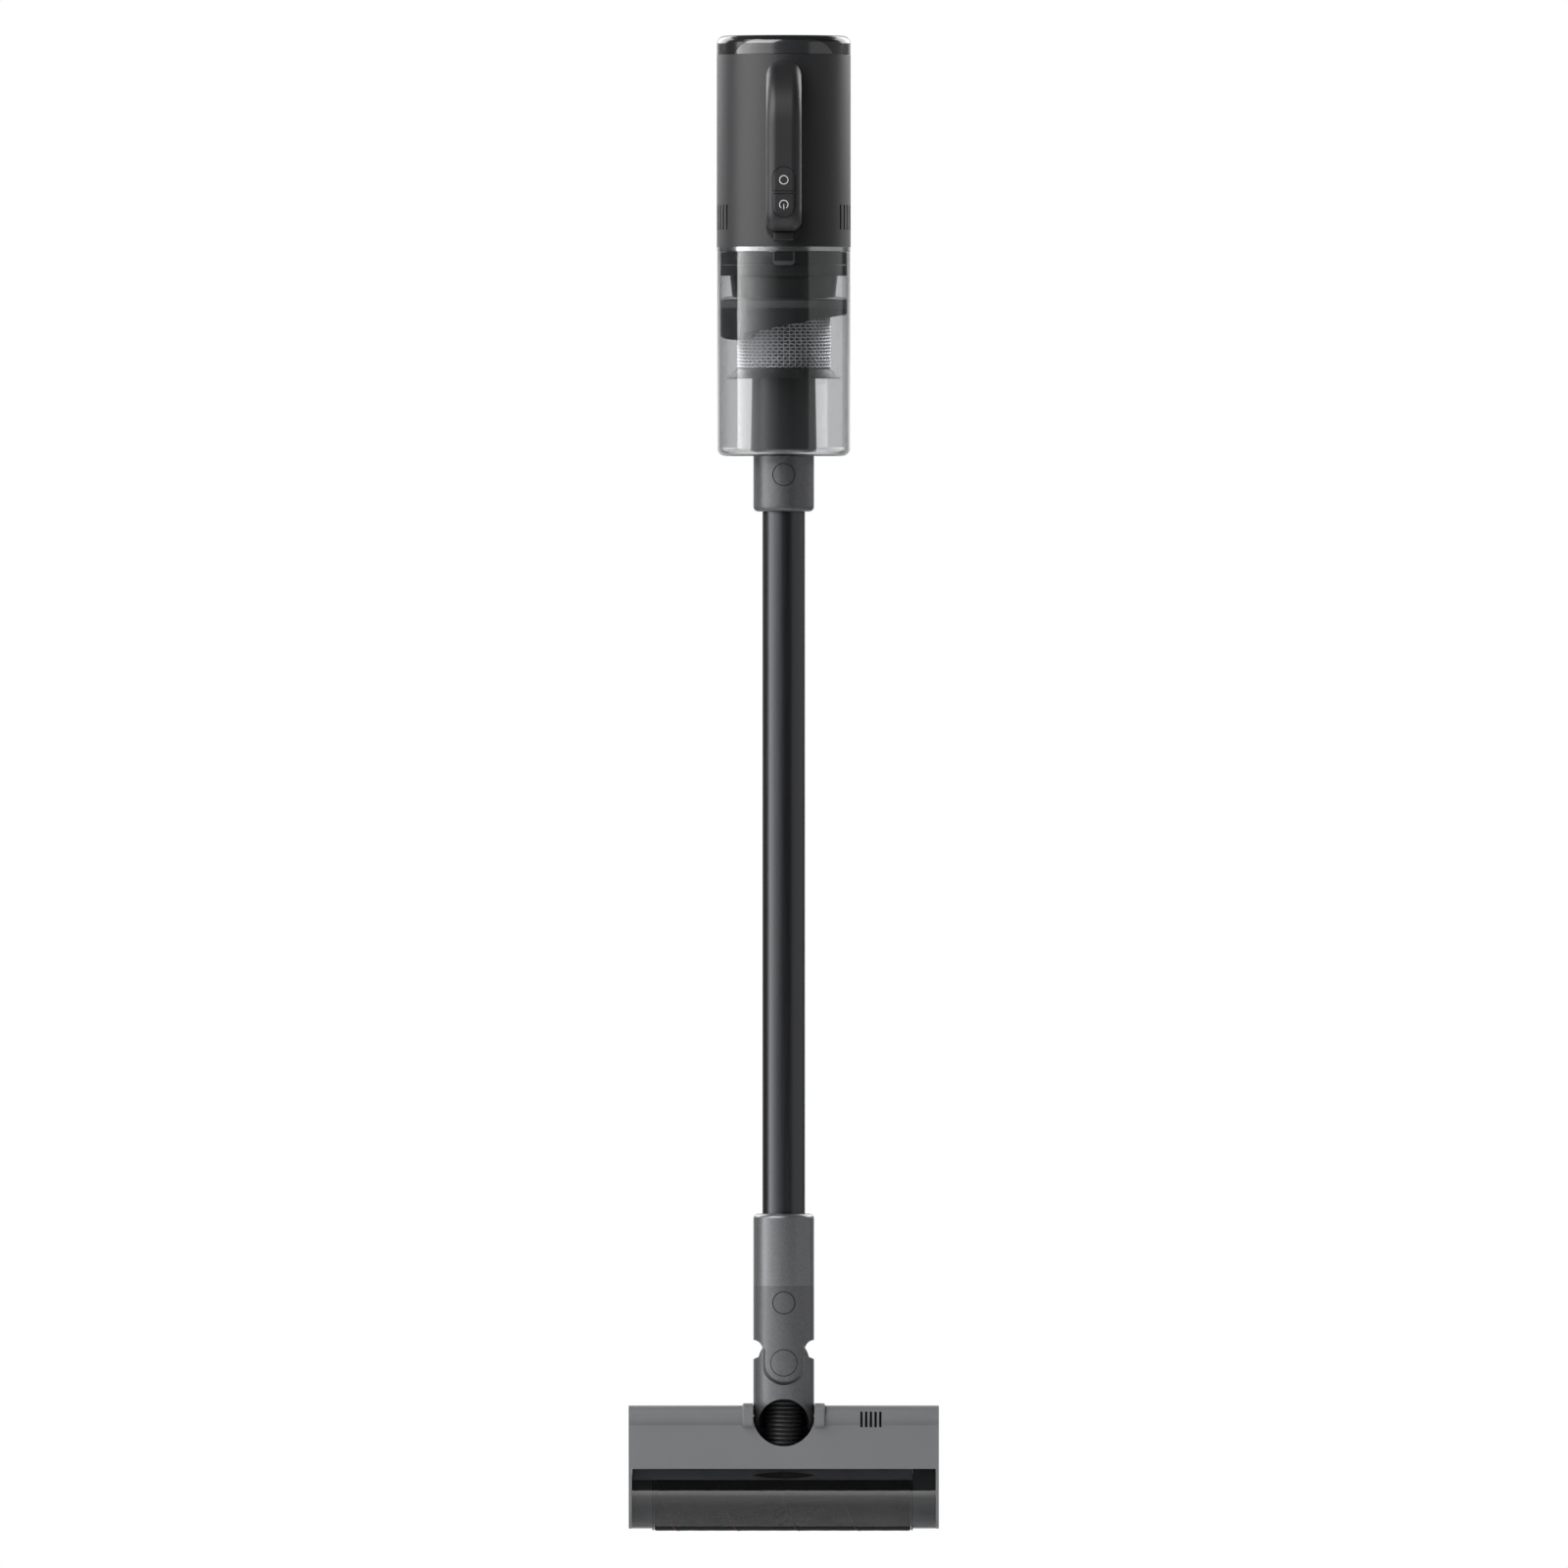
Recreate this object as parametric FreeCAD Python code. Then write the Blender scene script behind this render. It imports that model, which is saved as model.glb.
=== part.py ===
"""Cordless stick vacuum cleaner, hanging straight from its wall dock.

Millimetres. The pieces are modelled about the wand's axis: +X to the right, -Y towards the user's side
(handle, buttons and the top face of the floor head), +Z up, with z = 0 at the front of the brush roller.
write() then moves each piece so that the origin is the centre of the dock face on the back of the hand unit.
"""

import FreeCAD, Part
import math
import os
from FreeCAD import Vector

# ---- fits ----
seat_gap = 0.1  # round piece in its fixed seat
gap = 0.3  # between pieces that move past each other
shaft_gap = 0.05  # shaft or pin in its bearing hole
key_gap = 0.5  # open line round a key, a button or a pin's cap

# ---- wand, collars and neck ----
wand_radius = 17.2
wand_wall = 1.3
wand_exposed = 566.0  # bare tube between the two collars
socket_depth = 30.0  # how far the tube goes into the lower collar
collar_radius = 24.5
collar_round = 4.0
lower_collar_height = 58.0
inlet_collar_height = 44.5
airway_radius = 14.6

# ---- floor head ----
head_width = 250.0
head_depth = 101.0  # roller front to rear edge
head_wall = 2.2
roller_radius = 23.5
roller_core_radius = 17.5
sole_thickness = 2.5
sole_clear = 4.5  # between the neck's ball and the sole
floor_gap = 2.5  # sole above the floor, when the head stands on its wheels
brush_bite = 0.5  # brush tips below the floor's level
window_proud = 3.7  # window's outer face in front of the brush, at the crease
window_thickness = 1.2
window_crease = 9.5  # from the roller's axis to the crease where the window starts to curve down
seam_rise = 3.6  # joint between window and cover, behind the roller
mouth_gap = 6.5  # suction slot behind the roller
left_cap_width = 16.5
drive_width = 18.5  # belt side, right of the roller
pitch_inset = 7.5  # pitch axis in from the rear edge
pitch_to_swivel = 42.5
swivel_to_neck_top = 62.0
swivel_limit = 22.0
ear_width = 8.5
ear_round = 1.4
ear_drop = 11.0  # ear's lower face under the pitch axis
wheel_radius = 8.0
wheel_width = 9.0
wheel_x = 62.0

# ---- dust cup ----
cup_height = 165.0
cup_inset = 0.3  # cup's wall inside the housing's
cup_wall = 2.2
cup_floor = 2.5
cup_round = 7.0
rim_height = 3.5
sleeve_radius = 26.7
duct_radius = 15.5
screen_inset = 15.8  # screen inside the cup's outer face
screen_height = 48.0
skirt_height = 7.1
skirt_inset = 7.9

# ---- motor housing, cap and handle ----
body_radius = 54.0
body_wall = 2.5
deck = 3.0
housing_height = 155.0
cap_height = 15.5
cap_round = 6.5
handle_reach = 50.0  # handle front, out from the housing wall
handle_thickness = 22.0
handle_width = 28.4
handle_top_drop = 4.5  # below the cap seam
handle_foot_rise = 12.5  # above the cup rim
button_travel = 1.2
release_travel = 1.5

# ---- wall dock ----
dock_width = 44.0
dock_height = 90.0
dock_proud = 2.0
dock_below_seam = 80.0

# ---- stations along the axis ----
cup_radius = body_radius - cup_inset
screen_radius = cup_radius - screen_inset
skirt_radius = cup_radius - skirt_inset
sole_y = collar_radius + sole_clear + sole_thickness
floor_y = sole_y + floor_gap
roller_z = roller_radius
roller_y = floor_y + brush_bite - roller_radius
seam_z = 2 * roller_radius + seam_rise
chamber_wall_z = 2 * roller_radius + mouth_gap
pitch_z = head_depth - pitch_inset
swivel_z = pitch_z + pitch_to_swivel
neck_top_z = swivel_z + swivel_to_neck_top
lower_collar_top_z = neck_top_z + lower_collar_height
inlet_collar_z = lower_collar_top_z + wand_exposed
cup_z = inlet_collar_z + inlet_collar_height
cup_top_z = cup_z + cup_height
housing_z = cup_top_z + rim_height
seam_top_z = housing_z + housing_height
top_z = seam_top_z + cap_height
dock_y = body_radius + dock_proud
dock_z = seam_top_z - dock_below_seam

half_head = head_width / 2
cheek_x = half_head - 2.5  # inner face of the head's side walls


# ---- shape helpers ----
def rod(radius, z0, z1, x=0.0, y=0.0):
    return Part.makeCylinder(radius, z1 - z0, Vector(x, y, z0), Vector(0, 0, 1))


def rod_x(radius, x0, x1, y, z):
    return Part.makeCylinder(radius, x1 - x0, Vector(x0, y, z), Vector(1, 0, 0))


def rod_y(radius, y0, y1, x, z):
    return Part.makeCylinder(radius, y1 - y0, Vector(x, y0, z), Vector(0, 1, 0))


def ring(outer, inner, z0, z1):
    return rod(outer, z0, z1).cut(rod(inner, z0 - 1, z1 + 1))


def block(x0, x1, y0, y1, z0, z1):
    return Part.makeBox(x1 - x0, y1 - y0, z1 - z0, Vector(x0, y0, z0))


def outline(place, start, *steps):
    """A flat face. A step is the end of a line, or (point on an arc, end of the arc)."""
    edges = []
    here = place(*start)
    for step in list(steps) + [start]:
        if isinstance(step[0], tuple):
            there = place(*step[1])
            edges.append(Part.Arc(here, place(*step[0]), there).toShape())
        else:
            there = place(*step)
            if there.isEqual(here, 1e-6):
                continue
            edges.append(Part.makeLine(here, there))
        here = there
    return Part.Face(Part.Wire(edges))


def side(x0, x1, start, *steps):
    """A prism along X over an outline of (y, z) points."""
    return outline(lambda y, z: Vector(x0, y, z), start, *steps).extrude(Vector(x1 - x0, 0, 0))


def front(y0, y1, start, *steps):
    """A prism along Y over an outline of (x, z) points."""
    return outline(lambda x, z: Vector(x, y0, z), start, *steps).extrude(Vector(0, y1 - y0, 0))


def turned(start, *steps):
    """A solid of revolution about Z over an outline of (radius, z) points."""
    face = outline(lambda r, z: Vector(r, 0, z), start, *steps)
    return face.revolve(Vector(0, 0, 0), Vector(0, 0, 1), 360)


def fused(first, *others):
    return first.fuse(list(others)).removeSplitter()


def rounded(shape, radius, chosen):
    """Rounds the edges for which chosen(edge) is true."""
    edges = [e for e in shape.Edges if chosen(e)]
    return shape.makeFillet(radius, edges)


def group(shapes):
    return Part.makeCompound(shapes)


def around(count, radius, first=0.0):
    """Points (x, y) evenly spaced on a circle."""
    angles = [math.radians(first + 360.0 * k / count) for k in range(count)]
    return [(radius * math.cos(a), radius * math.sin(a)) for a in angles]


def coil_y(radius, wire, turns, y0, y1, x, z):
    """A compression spring with its axis along Y."""
    length = y1 - y0 - 2 * wire
    helix = Part.makeHelix(length / turns, length, radius)
    ring_wire = Part.Wire(Part.makeCircle(wire, Vector(radius, 0, 0), Vector(0, 1, 0)))
    spring = Part.Wire(helix).makePipeShell([ring_wire], True, True)
    spring.rotate(Vector(0, 0, 0), Vector(1, 0, 0), -90)
    spring.translate(Vector(x, y0 + wire, z))
    return spring


def both_circles(place, near, near_radius, far, far_radius):
    """The face bounded by two circles and the two lines that touch both."""
    (a, b), (c, d) = near, far
    distance = math.hypot(c - a, d - b)
    heading = math.atan2(d - b, c - a)
    lean = math.acos((near_radius - far_radius) / distance)

    def on(centre, radius, angle):
        return (centre[0] + radius * math.cos(angle), centre[1] + radius * math.sin(angle))

    return outline(
        place,
        on(near, near_radius, heading - lean),
        on(far, far_radius, heading - lean),
        (on(far, far_radius, heading), on(far, far_radius, heading + lean)),
        on(near, near_radius, heading + lean),
        (on(near, near_radius, heading + math.pi), on(near, near_radius, heading - lean)),
    )


def pleated(outer, inner, pleats, z0, z1, core):
    """A pleated filter ring round a hole of radius core."""
    points = []
    for k in range(pleats * 2):
        angle = math.pi * k / pleats
        radius = outer if k % 2 == 0 else inner
        points.append(Vector(radius * math.cos(angle), radius * math.sin(angle), z0))
    face = Part.Face(Part.makePolygon(points + points[:1]))
    return face.extrude(Vector(0, 0, z1 - z0)).cut(rod(core, z0 - 1, z1 + 1))


def write(name, shape):
    moved = shape.copy()
    moved.translate(Vector(0, -dock_y, -dock_z))
    solids = moved.Solids
    if not solids or not all(s.isValid() and s.Volume > 0 for s in solids):
        raise RuntimeError("%s is not a set of valid solids" % name)
    whole = solids[0] if len(solids) == 1 else Part.makeCompound(solids)
    whole.exportStep("parts/%s.step" % name)
    print("%-20s %2d solids %10.1f mm3" % (name, len(solids), sum(s.Volume for s in solids)))


# ---- hand unit: housing ----
vent_count = 11
vent_width = 2.0
vent_spacing = 6.4  # degrees
vent_height = 20.0
vent_rise = 14.0
latch_half_width = 8.2
latch_z0 = housing_z + 4.8
latch_z1 = housing_z + 11.8
latch_front_y = -body_radius - 7.5
latch_travel = 2.0
latch_depth = 4.0
foot_depth = 6.0
jack_z = dock_z - 28.0
jack_depth = 9.0
jack_radius = 2.8
jack_face_y = body_radius - 5.0
flange_radius = body_radius - 18.0
motor_radius = flange_radius - 6.0
motor_throat = motor_radius - 3.0
deck_screws = around(4, flange_radius - 3.0, 45.0)


def main_housing():
    inner_radius = body_radius - body_wall
    shell = rod(body_radius, housing_z, seam_top_z)
    half_width, half_height = dock_width / 2, dock_height / 2
    pad = block(-half_width, half_width, 0, dock_y, dock_z - half_height, dock_z + half_height)
    pad = rounded(pad, 6.0, lambda e: abs(e.CenterOfMass.y - dock_y / 2) < 0.01)
    foot_half = handle_width / 2
    foot_top = housing_z + 18.0
    foot_straight = housing_z + 13.5
    foot = front(
        -body_radius - foot_depth, 0,
        (-foot_half, foot_top), (-foot_half, foot_straight),
        ((0, housing_z + 3.5), (foot_half, foot_straight)), (foot_half, foot_top),
    )
    shell = fused(shell, pad, foot.cut(outer_bow()))
    shell = shell.cut(rod(inner_radius, housing_z + deck, seam_top_z + 1))
    shell = shell.cut(rod(motor_throat, housing_z - 1, housing_z + deck + 1))
    jack_boss = block(-9, 9, jack_face_y, body_radius - 1, jack_z - 9, jack_z + 9)
    shell = fused(shell, jack_boss)
    cuts = [
        block(-latch_half_width - gap, latch_half_width + gap, -body_radius - 20, -body_radius + 1.3,
              latch_z0 - gap, latch_z1 + gap),
        block(-11, 11, dock_y - 3.0, dock_y + 1, dock_z + 18, dock_z + 30),
        rod_y(jack_radius + 0.6, jack_face_y - 1, dock_y + 1, 0, jack_z),
    ]
    cuts += [rod(1.6, housing_z - 1, housing_z + deck + 1, x, y) for x, y in deck_screws]
    for hand in (-1, 1):
        for k in range(vent_count):
            angle = 90 + (k - (vent_count - 1) / 2) * vent_spacing
            slot = block(-vent_width / 2, vent_width / 2, -body_radius - 2, -inner_radius + 2,
                         housing_z + vent_rise, housing_z + vent_rise + vent_height)
            slot.rotate(Vector(0, 0, 0), Vector(0, 0, 1), hand * angle)
            cuts.append(slot)
    return shell.cut(cuts)


def cap_shell():
    inner = body_radius - head_wall
    corner = cap_round * (1 - math.sqrt(0.5))
    inner_round = cap_round - head_wall
    inner_corner = inner_round * (1 - math.sqrt(0.5))
    inner_top = top_z - head_wall
    return turned(
        (body_radius, seam_top_z),
        (body_radius, top_z - cap_round),
        ((body_radius - corner, top_z - corner), (body_radius - cap_round, top_z)),
        (0, top_z),
        (0, inner_top),
        (inner - inner_round, inner_top),
        ((inner - inner_corner, inner_top - inner_corner), (inner, inner_top - inner_round)),
        (inner, seam_top_z),
    )


lens_half_width = body_radius - 14.5
lens_height = 11.5
lens_sweep = 22.0  # how far in from each end the lens reaches its full height


def lens_prism(grow):
    half = lens_half_width + grow
    low = seam_top_z + 0.4 - grow
    high = seam_top_z + lens_height + grow
    flat = half - lens_sweep
    bend = math.sqrt(0.5)
    centre = (flat, low)
    rise = high - low
    left, right = (
        (hand * (centre[0] + lens_sweep * bend), low + rise * (0.35 + 0.5 * bend)) for hand in (-1, 1)
    )
    return front(
        -body_radius - 2, -20,
        (-half, low), (left, (-flat, high)), (flat, high), (right, (half, low)),
    )


def top_cap():
    return cap_shell().cut(lens_prism(0.15))


def display_lens():
    return cap_shell().common(lens_prism(0))


def display_board():
    board = rod(body_radius - 6, seam_top_z + 4, seam_top_z + 5.6)
    chips = [block(x, x + 9, y, y + 7, seam_top_z + 2.8, seam_top_z + 4)
             for x, y in ((-20, -6), (6, 4), (-8, 14))]
    pillars = [rod(2.5, seam_top_z - 3.5, seam_top_z + 4, x, y) for x, y in around(3, body_radius - 14, 90)]
    return fused(board, *(chips + pillars))


# ---- hand unit: handle and controls ----
handle_top = seam_top_z - handle_top_drop
handle_bottom = housing_z + handle_foot_rise
handle_front_y = -body_radius - handle_reach
handle_half = handle_width / 2
bow_radius = handle_reach
heel_radius = 16.0
grip_inner_radius = 8.0
grip_leg = 19.5  # height of the lower leg
shell_round = 8.0
handle_wall = 3.0
button_half_width = 9.0
mode_z0, mode_z1 = handle_top - 106.2, handle_top - 87.0
power_z0, power_z1 = handle_top - 127.4, handle_top - 109.0
button_back_y = handle_front_y + handle_wall + 1.5


def bow(depth, width, heel, leg):
    """The handle's side outline from the housing out to `depth` inside its outer face, as a solid
    reaching in to the housing. heel is the lower corner's radius and leg its rise above the handle's foot."""
    wall = -body_radius
    centre_z = handle_top - bow_radius
    radius = bow_radius - depth
    out = wall - radius
    low = handle_bottom + leg
    bend = math.sqrt(0.5)
    return side(
        -width / 2, width / 2,
        (0, centre_z + radius), (wall, centre_z + radius),
        ((wall - radius * bend, centre_z + radius * bend), (out, centre_z)),
        (out, low + heel),
        ((out + heel * (1 - bend), low + heel * (1 - bend)), (out + heel, low)),
        (0, low),
    )


def on_faces(half_width):
    """True for an edge that lies in one of the two side planes of a handle piece."""

    def test(edge):
        box = edge.BoundBox
        flat = box.XLength < 1e-4 and abs(abs(box.XMin) - half_width) < 1e-4
        return flat and edge.CenterOfMass.y < -body_radius * 0.5

    return test


def front_outline():
    """The handle's outline from the front: straight sides under a round top."""
    shoulder_z = handle_top - handle_half
    wide = handle_half + 1
    foot_z = handle_bottom - 1
    return front(
        -body_radius - handle_reach - 1, 0,
        (-wide, foot_z), (-wide, shoulder_z), (-handle_half, shoulder_z),
        ((0, handle_top), (handle_half, shoulder_z)), (wide, shoulder_z), (wide, foot_z),
    )


def outer_bow():
    grip = rounded(bow(0, handle_width, heel_radius, 0), shell_round, on_faces(handle_half))
    return grip.common(front_outline())


def parting_bow():
    return bow(handle_thickness / 2, handle_width + 2, 10.0, 10.0)


def button_prism(z0, z1, round_top, half, y0, y1):
    middle = z1 - half if round_top else z0 + half
    near, far = (z0, z1) if round_top else (z1, z0)
    return front(y0, y1, (-half, near), (-half, middle), ((0, far), (half, middle)), (half, near))


def handle_front_shell():
    shell = outer_bow().cut(parting_bow())
    hollow = bow(handle_wall, handle_width - 6.4, heel_radius - handle_wall, handle_wall)
    shell = shell.cut(hollow)
    for z0, z1, round_top in ((mode_z0, mode_z1, True), (power_z0, power_z1, False)):
        opening = button_prism(z0 - key_gap, z1 + key_gap, round_top, button_half_width + key_gap,
                               handle_front_y - 5, button_back_y + 3)
        shell = shell.cut(opening)
    return shell.cut(rod(body_radius, handle_bottom - 5, handle_top + 5))


def handle_rear_shell():
    centre_z = handle_top - bow_radius
    corner_z = handle_bottom + grip_leg + grip_inner_radius
    gap_space = bow(handle_thickness, handle_width + 4, grip_inner_radius, grip_leg)
    shell = parting_bow().cut(gap_space)
    shell = shell.common(bow(0, handle_width, heel_radius, 0)).common(front_outline())
    inner_line = body_radius + handle_reach - handle_thickness

    def on_grip(edge):
        box = edge.BoundBox
        in_plane = box.XLength < 1e-4 and abs(abs(box.XMin) - handle_half) < 1e-4
        middle = edge.valueAt((edge.FirstParameter + edge.LastParameter) / 2)
        straight = abs(middle.y + inner_line) < 0.1
        from_bow = math.hypot(middle.y + body_radius, middle.z - centre_z)
        curved = middle.y > -inner_line and abs(from_bow - bow_radius + handle_thickness) < 0.1
        from_corner = math.hypot(middle.y + inner_line - grip_inner_radius, middle.z - corner_z)
        corner = abs(from_corner - grip_inner_radius) < 0.1
        return in_plane and middle.y < -body_radius * 0.9 and (straight or curved or corner)

    shell = rounded(shell, 6.0, on_grip)
    return shell.cut(rod(body_radius, handle_bottom - 5, handle_top + 5))


def button(z0, z1, round_top):
    prism = button_prism(z0, z1, round_top, button_half_width, handle_front_y - 5, button_back_y)
    return outer_bow().common(prism)


def control_board():
    board_y = button_back_y + 2.4
    board = block(-9, 9, board_y, board_y + 1.2, power_z0 + 1, mode_z1 + 3)
    switches = []
    for z0, z1 in ((mode_z0, mode_z1), (power_z0, power_z1)):
        z = (z0 + z1) / 2
        switches.append(block(-2.6, 2.6, board_y - 0.7, board_y, z - 2.6, z + 2.6))
        switches.append(rod_y(1.2, board_y - 0.95, board_y - 0.7, 0, z))
    return fused(board, *switches)


# ---- hand unit: battery, motor and filter ----
cell_radius = 10.6
cell_height = 70.0
cell_ring = body_radius - body_wall - cell_radius - 4.9
battery_z = seam_top_z - 8.0 - cell_height
motor_height = 46.0
isolator_height = 14.0
motor_z = housing_z + deck + isolator_height
motor_shaft_radius = 2.5
bearing_radius = 6.0
cell_places = around(6, cell_ring, 30.0) + [(0.0, 0.0)]


def battery_cells():
    cells = []
    for x, y in cell_places:
        can = rod(cell_radius, battery_z, battery_z + cell_height - 1, x, y)
        nub = rod(3.5, battery_z + cell_height - 1, battery_z + cell_height, x, y)
        cells.append(fused(can, nub))
    return group(cells)


def battery_carrier():
    plates = []
    for z in (battery_z + 3, battery_z + cell_height - 8):
        plate = rod(body_radius - body_wall - seat_gap, z, z + 3)
        plates.append(plate.cut([rod(cell_radius + seat_gap, z - 1, z + 4, x, y) for x, y in cell_places]))
    return group(plates)


def motor_case():
    wall = 1.6
    can = rod(motor_radius, motor_z, motor_z + motor_height)
    flange = rod(flange_radius, motor_z, motor_z + 2)
    case = fused(can, flange)
    case = case.cut(rod(motor_radius - wall, motor_z + 5, motor_z + motor_height - 5))
    case = case.cut(rod(motor_shaft_radius + gap, motor_z - 1, motor_z + motor_height + 1))
    seats = [rod(bearing_radius + seat_gap, motor_z + 2, motor_z + 5.5),
             rod(bearing_radius + seat_gap, motor_z + motor_height - 5.5, motor_z + motor_height - 2)]
    air = [rod(3.5, motor_z - 1, motor_z + motor_height + 1, x, y) for x, y in around(8, motor_radius - 10)]
    holes = [rod(1.6, motor_z - 1, motor_z + 3, x, y) for x, y in deck_screws]
    return case.cut(seats + air + holes)


def motor_bearings():
    return group([ring(bearing_radius, motor_shaft_radius + shaft_gap, z, z + 3)
                  for z in (motor_z + 2.2, motor_z + motor_height - 5.2)])


def impeller():
    base = housing_z + deck + 2.0
    fan_radius = motor_throat - 1.5
    shaft = rod(motor_shaft_radius, base, motor_z + motor_height - 2.5)
    hub = turned((0, base), (7, base), (fan_radius, base + 8), (fan_radius, base + 9.5), (0, base + 9.5))
    rotor = rod(9.0, motor_z + 9, motor_z + motor_height - 9)
    blades = []
    for k in range(9):
        blade = block(6, fan_radius, -0.6, 0.6, base + 0.5, base + 9)
        blade.rotate(Vector(0, 0, 0), Vector(0, 0, 1), 40.0 * k)
        blades.append(blade)
    return fused(shaft, hub, rotor, *blades)


def motor_isolator():
    body = ring(flange_radius, motor_throat + 1, housing_z + deck, motor_z)
    return body.cut([rod(1.6, housing_z, motor_z + 1, x, y) for x, y in deck_screws])


def exhaust_filter():
    low = housing_z + vent_rise - 4
    outer = body_radius - body_wall - 1.0
    return pleated(outer, outer - 6.5, 40, low, low + vent_height + 8, outer - 8.5)


def charging_jack():
    body = block(-6, 6, jack_face_y - 11, jack_face_y, jack_z - 6, jack_z + 6)
    return body.cut(rod_y(jack_radius, jack_face_y - jack_depth, jack_face_y + 1, 0, jack_z))


def cup_latch():
    back = latch_front_y + latch_depth
    key = block(-latch_half_width, latch_half_width, latch_front_y, back, latch_z0, latch_z1)
    return rounded(key, 1.0, lambda e: abs(e.CenterOfMass.y - latch_front_y) < 0.01)


def cup_latch_spring():
    back = latch_front_y + latch_depth
    return coil_y(2.2, 0.35, 3, back, -body_radius + 1.3, 0, (latch_z0 + latch_z1) / 2)


def deck_screw_set():
    screws = []
    for x, y in deck_screws:
        head = rod(3.0, housing_z - 2.0, housing_z, x, y)
        shank = rod(1.5, housing_z, motor_z + 2, x, y)
        screws.append(fused(head, shank))
    return group(screws)


# ---- dust cup ----
body_flange_height = 20.0
waist_height = 18.9
waist_radius = cup_radius - 11.4
liner_radius = cup_radius - cup_wall - gap
skin = 2.0
floor_top_z = cup_z + cup_floor
skirt_z = floor_top_z + 59.7
screen_z = skirt_z + skirt_height
flange_z = cup_top_z - body_flange_height
waist_z = flange_z - waist_height
guide_drop = 36.0
guide_tilt = 12.8
screen_top_z = screen_z + screen_height + 14.0
filter_radius = waist_radius - 4.3


def cup_shell():
    inner = cup_radius - cup_wall
    corner = cup_round * (1 - math.sqrt(0.5))
    inner_round = cup_round - cup_wall
    inner_corner = inner_round * (1 - math.sqrt(0.5))
    return turned(
        (duct_radius, cup_z),
        (cup_radius - cup_round, cup_z),
        ((cup_radius - corner, cup_z + corner), (cup_radius, cup_z + cup_round)),
        (cup_radius, cup_top_z),
        (inner, cup_top_z),
        (inner, floor_top_z + inner_round),
        ((inner - inner_corner, floor_top_z + inner_corner), (inner - inner_round, floor_top_z)),
        (duct_radius, floor_top_z),
    )


def cup_rim():
    return ring(body_radius, body_radius - 8.0, cup_top_z, housing_z)


def cup_catch():
    half, drop = 8.7, 11.5
    shape = front(-60, 0, (-half, cup_top_z), (-half, cup_top_z - drop + 3),
                  ((-half + 0.9, cup_top_z - drop + 0.9), (-half + 3, cup_top_z - drop)),
                  (half - 3, cup_top_z - drop),
                  ((half - 0.9, cup_top_z - drop + 0.9), (half, cup_top_z - drop + 3)),
                  (half, cup_top_z))
    window = block(-half + 1.4, half - 1.4, -61, 1, cup_top_z - drop + 3.4, cup_top_z + 1)
    band = ring(cup_radius + 1.3, cup_radius, cup_top_z - 20, cup_top_z)
    return shape.cut(window).common(band)


def inlet_tube():
    top = screen_top_z - 8.0
    return turned(
        (duct_radius, floor_top_z), (sleeve_radius, floor_top_z), (sleeve_radius - 1.1, skirt_z),
        (sleeve_radius - 3.1, skirt_z), (sleeve_radius - 2.3, floor_top_z + 2),
        (duct_radius + 2, floor_top_z + 2), (duct_radius + 2, top), (duct_radius, top),
    )


def mesh_screen():
    return ring(screen_radius, screen_radius - 0.6, screen_z, screen_top_z)


def screen_frame():
    """The cage inside the mesh, on the flared skirt that keeps the dust down."""
    hole = duct_radius + 2 + seat_gap
    outer = screen_radius - 0.6 - seat_gap
    skirt = turned((hole, skirt_z), (skirt_radius, skirt_z), (skirt_radius, skirt_z + 0.6),
                   (screen_radius + 0.3, screen_z), (hole, screen_z))
    ribs = [skirt] + [ring(outer, outer - 2, z, z + 3) for z in (screen_z, screen_top_z - 3)]
    for k in range(4):
        rib = block(outer - 2, outer - 0.05, -1.5, 1.5, screen_z + 1, screen_top_z - 1)
        rib.rotate(Vector(0, 0, 0), Vector(0, 0, 1), 35 + 90 * k)
        ribs.append(rib)
    return fused(ribs[0], *ribs[1:])


def guide_cutter():
    """The space under the cyclone guide's slanting lower edge, which is lowest on the left."""
    cutter = block(-200, 200, -200, 200, -300, 0)
    cutter.rotate(Vector(0, 0, 0), Vector(0, 1, 0), -guide_tilt)
    drop = liner_radius * math.tan(math.radians(guide_tilt))
    cutter.translate(Vector(0, 0, waist_z - guide_drop + drop))
    return cutter


def cyclone_body():
    """A spool: filter seat and upper flange, waist, and the lower guide ring of two skins under a web."""
    inner = screen_radius + seat_gap
    throat = screen_radius - 13.9
    low = waist_z - guide_drop - 2
    upper = turned(
        (filter_radius + 0.6, cup_top_z), (liner_radius, cup_top_z), (liner_radius, flange_z),
        (waist_radius, flange_z), (waist_radius, waist_z), (liner_radius, waist_z), (liner_radius, low),
        (liner_radius - skin, low), (liner_radius - skin, waist_z - skin), (inner + skin, waist_z - skin),
        (inner + skin, low), (inner, low),
        (inner, screen_top_z), (throat, screen_top_z), (throat, screen_top_z + 2),
        (filter_radius + 0.6, screen_top_z + 2),
    )
    body = upper.cut(guide_cutter())
    groove = ring(liner_radius + 1, liner_radius - 1.3, waist_z - 7, waist_z - 1)
    return body.cut(groove)


def lip_seal():
    outer = cup_radius - cup_wall - 0.05
    inner = liner_radius - 1.3 + 0.05
    low, high = waist_z - 6.9, waist_z - 1.1
    return turned((inner, low), (liner_radius, low), (outer, low + 1.9), (outer, high - 3.1),
                  (liner_radius, high), (inner, high))


def cyclone_cone():
    top = screen_top_z - 0.1
    wide = screen_radius - 4.9
    narrow = duct_radius + 6.0
    return turned((wide, top), (narrow, screen_z + 1), (narrow - 1.5, screen_z + 1), (wide - 1.5, top - 0.4),
                  (wide - 1.5, top))


def pre_filter():
    return pleated(filter_radius, filter_radius - 7.0, 36, screen_top_z + 2, cup_top_z - 1, duct_radius - 1.5)


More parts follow.
